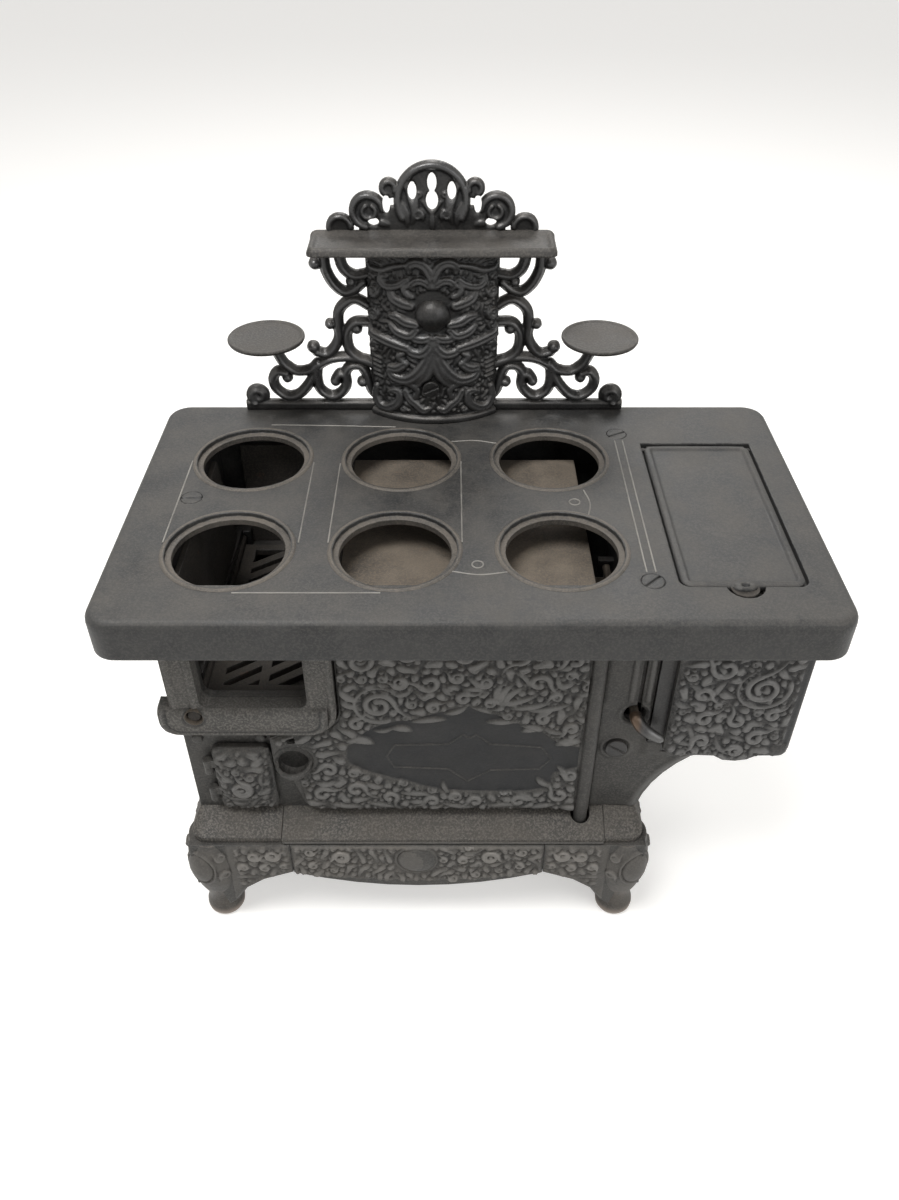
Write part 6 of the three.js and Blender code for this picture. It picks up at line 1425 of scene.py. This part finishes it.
# Cooktop: true round rims for the lid holes, and the thin raised lines cast into its top
cooktopTop = {
    "top": 227.0,
    "columns": (-108.3, -33.5, 41.3), "rows": (-40.3, 35.9),
    "rim": [(25.3, -4.6), (25.3, -1.9), (25.6, -1.72), (27.85, -1.72), (28.1, -1.5), (28.15, 0.2), (28.5, 0.62),
            (29.1, 0.72), (29.8, 0.55), (30.3, 0.05), (30.3, -0.6), (29.2, -2.4), (28.6, -4.6)],
    "lines": [[(-103.9, 69.5), (-70.0, 68.6), (-37.8, 67.3)], [(-77.4, 32.0), (-77.4, -35.6)],
              [(-64.0, 31.0), (-64.0, -35.6)], [(-3.5, 33.0), (-3.5, -35.0)], [(-101.6, -71.0), (-38.5, -71.0)],
              [(-138.7, 33.5), (-138.7, -35.5)], [(-8.2, 52.4), (4.0, 53.4), (16.2, 50.4)],
              [(-8.8, -56.1), (3.5, -58.6), (16.0, -56.8)], [(55.7, 7.1), (57.6, -3.8), (55.7, -14.7)],
              [(76.6, 53.0), (76.6, -57.0)], [(80.6, 53.0), (80.6, -57.0)]],
    "rings": [(3.2, -51.4, 2.5), (50.4, -3.0, 2.5)],
    "half": 0.42, "rise": 0.32,
}


def beadStrip(points, half, rise, base, loop=False):
    # vertices and faces of a thin half-round line that lies on the plate
    points = np.asarray(points, float)
    count = len(points)
    ahead = np.roll(points, -1, axis=0) - np.roll(points, 1, axis=0)
    if not loop:
        ahead[0], ahead[-1] = points[1] - points[0], points[-1] - points[-2]
    ahead /= np.linalg.norm(ahead, axis=1)[:, None]
    side = np.stack([-ahead[:, 1], ahead[:, 0]], axis=1)
    section = [(-1.0, -0.5), (-0.8, 0.45), (-0.3, 0.95), (0.3, 0.95), (0.8, 0.45), (1.0, -0.5)]
    verts = []
    for point, sideways in zip(points, side):
        verts += [(*(point + sideways * across * half), base + up * rise) for across, up in section]
    size = len(section)
    faces = tubeFaces(count, size, loop)
    if not loop:
        faces += [tuple(range(size - 1, -1, -1)), tuple((count - 1) * size + j for j in range(size))]
    return verts, faces


def makeCooktop():
    top = cooktopTop
    for i, x in enumerate(top["columns"]):
        for j, y in enumerate(top["rows"]):
            rim = turnedMesh(f"lidRim_{i}_{j}", top["rim"], 96, (x, y, top["top"]))
            addPiece(rim, "stove", "rimIron")
    verts, faces = [], []
    runs = [(smoothPath(line, 24) if len(line) > 2 else np.linspace(line[0], line[1], 12), False)
            for line in top["lines"]]
    for x, y, radius in top["rings"]:
        angles = 2 * math.pi * np.arange(28) / 28
        runs.append((np.stack([x + radius * np.cos(angles), y + radius * np.sin(angles)], axis=1), True))
    for points, loop in runs:
        newVerts, newFaces = beadStrip(points, top["half"], top["rise"], top["top"], loop)
        faces += [tuple(corner + len(verts) for corner in face) for face in newFaces]
        verts += newVerts
    addPiece(finishMesh(meshFrom("cooktopLines", verts, faces)), "stove", "lineIron")


notchFloor = {"profile": [(0, -0.8), (11.6, -0.8), (12.0, -0.4), (11.6, 0), (0, 0)], "place": (59.2, -63.0, 66.1)}


def makeNotchFloor():
    # closes the dark slot under the oven door's foot
    mesh = turnedMesh("hearthNotchFloor", notchFloor["profile"], 32, notchFloor["place"])
    addPiece(mesh, "stove", "sootyIron")


makePanel()
makeWings()
makeCrest()
makeShelf()
makeTrivets()
print("high back made")
makeCooktop()
makeNotchFloor()
print("cooktop made")


# Damper lever: a smooth tapered finger, rusty where it leaves the wall
damperGrip = {
    "path": [(79.7, -65.7, 147.5), (80.2, -68.3, 146.6), (82.3, -69.7, 143.5), (85.3, -70.6, 140.6),
             (88.9, -71.5, 138.4), (92.0, -72.2, 136.9), (93.6, -72.5, 136.3)],
    "radii": [2.8, 3.1, 3.2, 3.0, 2.65, 2.2, 1.1], "count": 34, "segments": 22,
}


def sweptMesh(name, points, radii, segments):
    # round sections carried along a path, each end closed by a point
    along = np.gradient(points, axis=0)
    along /= np.linalg.norm(along, axis=1)[:, None]
    side = np.cross(along, [0, 1, 0])
    side /= np.linalg.norm(side, axis=1)[:, None]
    other = np.cross(along, side)
    angles = 2 * math.pi * np.arange(segments) / segments
    verts = [points[i] + radii[i] * (math.cos(a) * side[i] + math.sin(a) * other[i])
             for i in range(len(points)) for a in angles]
    verts += [points[0] - 0.2 * along[0], points[-1] + 0.4 * radii[-1] * along[-1]]
    return finishMesh(meshFrom(name, verts, tubeFaces(len(points), segments) + pointedCaps(len(points), segments)))


def makeDamperGrip():
    grip = damperGrip
    path = smoothPath(grip["path"], grip["count"])
    t = np.linspace(0, len(grip["radii"]) - 1, grip["count"])
    radii = np.interp(t, range(len(grip["radii"])), grip["radii"])
    mesh = sweptMesh("damperGrip", path, radii, grip["segments"])
    out = np.array([vert.co.x / mm for vert in mesh.vertices])
    addLayer(mesh, "relief", softStep(out, 80, 90))
    addLayer(mesh, "shade", 0.9 * softStep(-out, -83, -79.5))
    addPiece(mesh, "damper", "leverIron", ["damper_lever"])


# Column beside the oven door: mouldings down to the lever, and the flare's swept edge
columnFace = {
    "step": 0.5, "faceY": -64.0, "left": 63.9, "right": 87.5, "foot": 77.2, "top": 206.5, "flareTop": 120.9,
    "flare": (151.0, 66.0, 63.0), "leverHole": (80.0, 146.0, 5.8), "screwHole": (73.4, 122.5, 5.8),
    "groove": (80.3, 82.7, 150.0), "mouldings": [(77.4, 1.9, 1.0), (85.2, 1.7, 1.1), (68.2, 3.4, 0.6)],
    "grid": (63, 121, 76.5, 207), "rim": (0.8, 0.3), "shoulder": (85.0, 95.2, 116.0, 127.6, 3.5),
}


def makeColumnFace():
    column = columnFace
    field = newField(*column["grid"], column["step"])
    u, v = field.u, field.v
    flareX, flareZ, flareRadius = column["flare"]
    swept = flareRadius + 0.4 - np.hypot(u - flareX, v - flareZ)
    low = np.maximum(swept, v - column["flareTop"])
    high = np.maximum(u - column["right"], column["flareTop"] - 1 - v)
    shoulder = roundedBox(field, *column["shoulder"])
    outline = np.maximum(np.minimum(np.minimum(low, high), shoulder), column["left"] - u)
    outline = np.maximum(outline, np.maximum(column["foot"] - v, v - column["top"]))
    grooveLeft, grooveRight, grooveFoot = column["groove"]
    groove = np.maximum(np.maximum(grooveLeft - u, u - grooveRight), grooveFoot - v)
    outline = np.maximum(outline, -groove)
    rise = field.raised
    for label in ("leverHole", "screwHole"):
        x, z, radius = column[label]
        apart = np.hypot(u - x, v - z)
        outline = np.maximum(outline, radius - apart)
        rise += 0.8 * bell(apart - radius, 1.5, 1.1)
    field.outline = outline
    for x, half, height in column["mouldings"]:
        rise = np.maximum(rise, height * bead(u, x, half) * softStep(v, 151, 156))
    edge = 1.3 * bell(swept, -3.0, 2.2) * softStep(-v, -124, -116)
    hollow = 0.5 * bell(swept, -8.5, 3.0) * softStep(-v, -124, -116)
    field.raised = np.minimum(np.maximum(rise, edge) + hollow, 1.3)
    field.ground += 0.25 + 1.75 * softStep(v, 114.5, 121.0) * softStep(u, 84.5, 89.0) * softStep(-v, -131, -128)
    roundRim(field, *column["rim"])
    mesh = castMesh("columnFace", field, facingFront(column["faceY"]), -0.4, fullBack=True)
    addPiece(mesh, "stove", "castFront")


# Fire-mouth frame: the sill's rim moulding, its rusty pin hole, and channelled jambs
mouthFace = {
    "step": 0.5, "sillY": -74.0, "round": 4.0, "sill": (-145.6, -66.9, 140.7, 157.2), "corner": 9.8,
    "pin": (-129.3, 153.0, 4.9), "jambY": -72.0, "plate": (-139.7, -62.8, 140.5, 205.6), "plateCorner": 13.7,
    "opening": (-126.3, -75.2, 157.0, 206.0), "jambs": [(-137.6, 1.5, 0.9), (-128.6, 1.5, 0.8), (-73.6, 1.1, 0.7),
                                                       (-64.3, 1.2, 0.9)], "rim": (0.8, 0.35),
    "collar": [(4.0, -9.0), (4.6, -9.0), (4.75, -0.3), (4.5, 0.0), (4.1, -0.4)], "openingCorner": 4.5,
}


def makeMouthFace():
    face = mouthFace
    left, right, low, high = face["sill"]
    field = newField(left, right, low, high, face["step"])
    rim = roundedBox(field, left, right, low, high + face["corner"], face["corner"])
    pinX, pinZ, pinRadius = face["pin"]
    pin = np.hypot(field.u - pinX, field.v - pinZ)
    field.outline = np.maximum(np.maximum(rim, field.v - high), pinRadius - pin)
    field.raised = 1.1 * bell(rim, -1.6, 0.9) + 0.5 * bell(rim, -4.6, 0.7)
    field.raised += 0.6 * bell(pin - pinRadius, 1.2, 0.9)
    # painted shade: a dark line in the hollow between the sill's two rim ridges, and a dark ring round the pin hole
    field.shade = np.maximum(0.95 * bell(rim, -3.2, 0.55), 0.8 * softStep(-pin, -6.2, -5.0))
    field.ground += 0.2
    roundRim(field, *face["rim"])

    def onSill(u, v, h):
        over = max(low - 0.4 + face["round"] - v, v - high - 0.8 + face["round"], 0)
        return (u, face["sillY"] + face["round"] - math.sqrt(max(face["round"] ** 2 - over**2, 0)) - h, v)

    mesh = castMesh("mouthSill", field, onSill, -0.4, fullBack=True)
    addPiece(mesh, "stove", "dustyCasting")
    collar = turnedMesh("mouthPinCollar", face["collar"], 40)
    turnForward(collar, (pinX, face["sillY"], pinZ))
    addPiece(collar, "stove", "rustyIron")
    left, right, low, high = face["plate"]
    field = newField(left, right, low, high, face["step"])
    u, v = field.u, field.v
    plate = roundedBox(field, left - 20, right, low, high + 20, face["plateCorner"])
    plate = np.maximum(np.maximum(plate, left - u), v - high)
    opening = roundedBox(field, *face["opening"], face["openingCorner"])
    sill = np.maximum(u - face["sill"][1] - 0.2, v - face["sill"][3] - 0.5)
    field.outline = np.maximum(plate, -np.minimum(opening, sill))
    for x, half, height in face["jambs"]:
        field.raised = np.maximum(field.raised, height * bead(u, x, half) * softStep(v, 146, 160))
    corner = 0.9 * bell(plate, -1.6, 1.0) * (u > -76)
    field.raised = np.maximum(field.raised, corner)
    field.ground += 0.2
    roundRim(field, *face["rim"])
    mesh = castMesh("mouthJambs", field, facingFront(face["jambY"]), -0.4, fullBack=True)
    addPiece(mesh, "stove", "dustyCasting")


# Reservoir lid: a rim band round a slightly sunk middle, and a pierced tab over a half-round notch
lidTop = {
    "step": 0.55, "top": 227.0, "plate": (90.7, 144.2, -66.1, 48.4), "corner": 4.8, "tab": (117.45, -66.2, 5.2, 2.6),
    "hole": (1.7, 1.2), "thickness": -2.9, "hinge": (47.5, 224.6, 2.2), "barrel": (92.5, 142.4),
    "pin": (88.0, 146.9, 1.2),
    "grid": (89, 146, -70.5, 49.5), "rim": (1.1, 0.7),
    "notch": [(0, -1.6), (6.0, -1.6), (6.2, -0.9), (5.9, -0.6), (4.6, -1.0), (0, -1.3)], "notchAt": (-66.4, 226.8),
}


def makeLid():
    lid = lidTop
    field = newField(*lid["grid"], lid["step"])
    u, v = field.u, field.v
    plate = roundedBox(field, *lid["plate"], lid["corner"])
    x, y, across, deep = lid["tab"]
    tab = np.hypot((u - x) / across, (v - y) / deep)
    field.outline = np.minimum(plate, (tab - 1) * deep)
    field.ground = -0.75 * softStep(-plate, 2.7, 3.9) - 0.1
    field.raised = 0.35 * bell(plate, -2.4, 0.5) + 0.7 * softStep(-tab, -1.05, -0.75)
    hole = np.hypot((u - x) / lid["hole"][0], (v - y) / lid["hole"][1])
    field.ground -= 1.6 * softStep(-hole, -1.15, -0.8)
    # painted shade: a dark line where the rim band steps down to the sunk middle, and dark inside the tab's hole
    field.shade = 0.75 * bell(plate, -3.6, 0.45) + softStep(-hole, -1.2, -0.9)
    roundRim(field, *lid["rim"])

    def onTop(a, b, h):
        return (a, b, lid["top"] + h)

    mesh = castMesh("reservoirLidPlate", field, onTop, lid["thickness"])
    addPiece(mesh, "reservoir_lid", "cooktopIron", ["reservoir_lid"])
    hingeY, hingeZ, barrelRadius = lid["hinge"]
    for name, (start, end), radius in (("reservoirLidBarrel", lid["barrel"], barrelRadius),
                                       ("reservoirLidPin", lid["pin"][:2], lid["pin"][2])):
        path = np.stack([np.linspace(start, end, 6), np.full(6, hingeY), np.full(6, hingeZ)], axis=1)
        rod = sweptMesh(name, path, [radius * 0.9, radius, radius, radius, radius, radius * 0.9], 20)
        addPiece(rod, "reservoir_lid", "cooktopIron")
    # the notch floor takes the near-black sooty finish as painted shade under the tab
    notch = turnedMesh("reservoirLidNotch", lid["notch"], 40, (x, *lid["notchAt"]))
    addPiece(notch, "reservoir_lid", "sootyIron")


# Hearth plate: a thin bead along the foot of its front edge
hearthBead = {"from": -95.6, "to": 70.6, "y": -81.1, "z": 67.0, "radius": 0.75}


def makeHearthBead():
    strip = hearthBead
    ends = np.linspace(strip["from"], strip["to"], 24)
    path = np.stack([ends, np.full(24, strip["y"]), np.full(24, strip["z"])], axis=1)
    rod = sweptMesh("hearthBead", path, [strip["radius"]] * 24, 14)
    addPiece(rod, "stove", "castFront")


makeHearthBead()
makeDamperGrip()
makeColumnFace()
makeMouthFace()
makeLid()
print("lever, column, mouth and lid made")
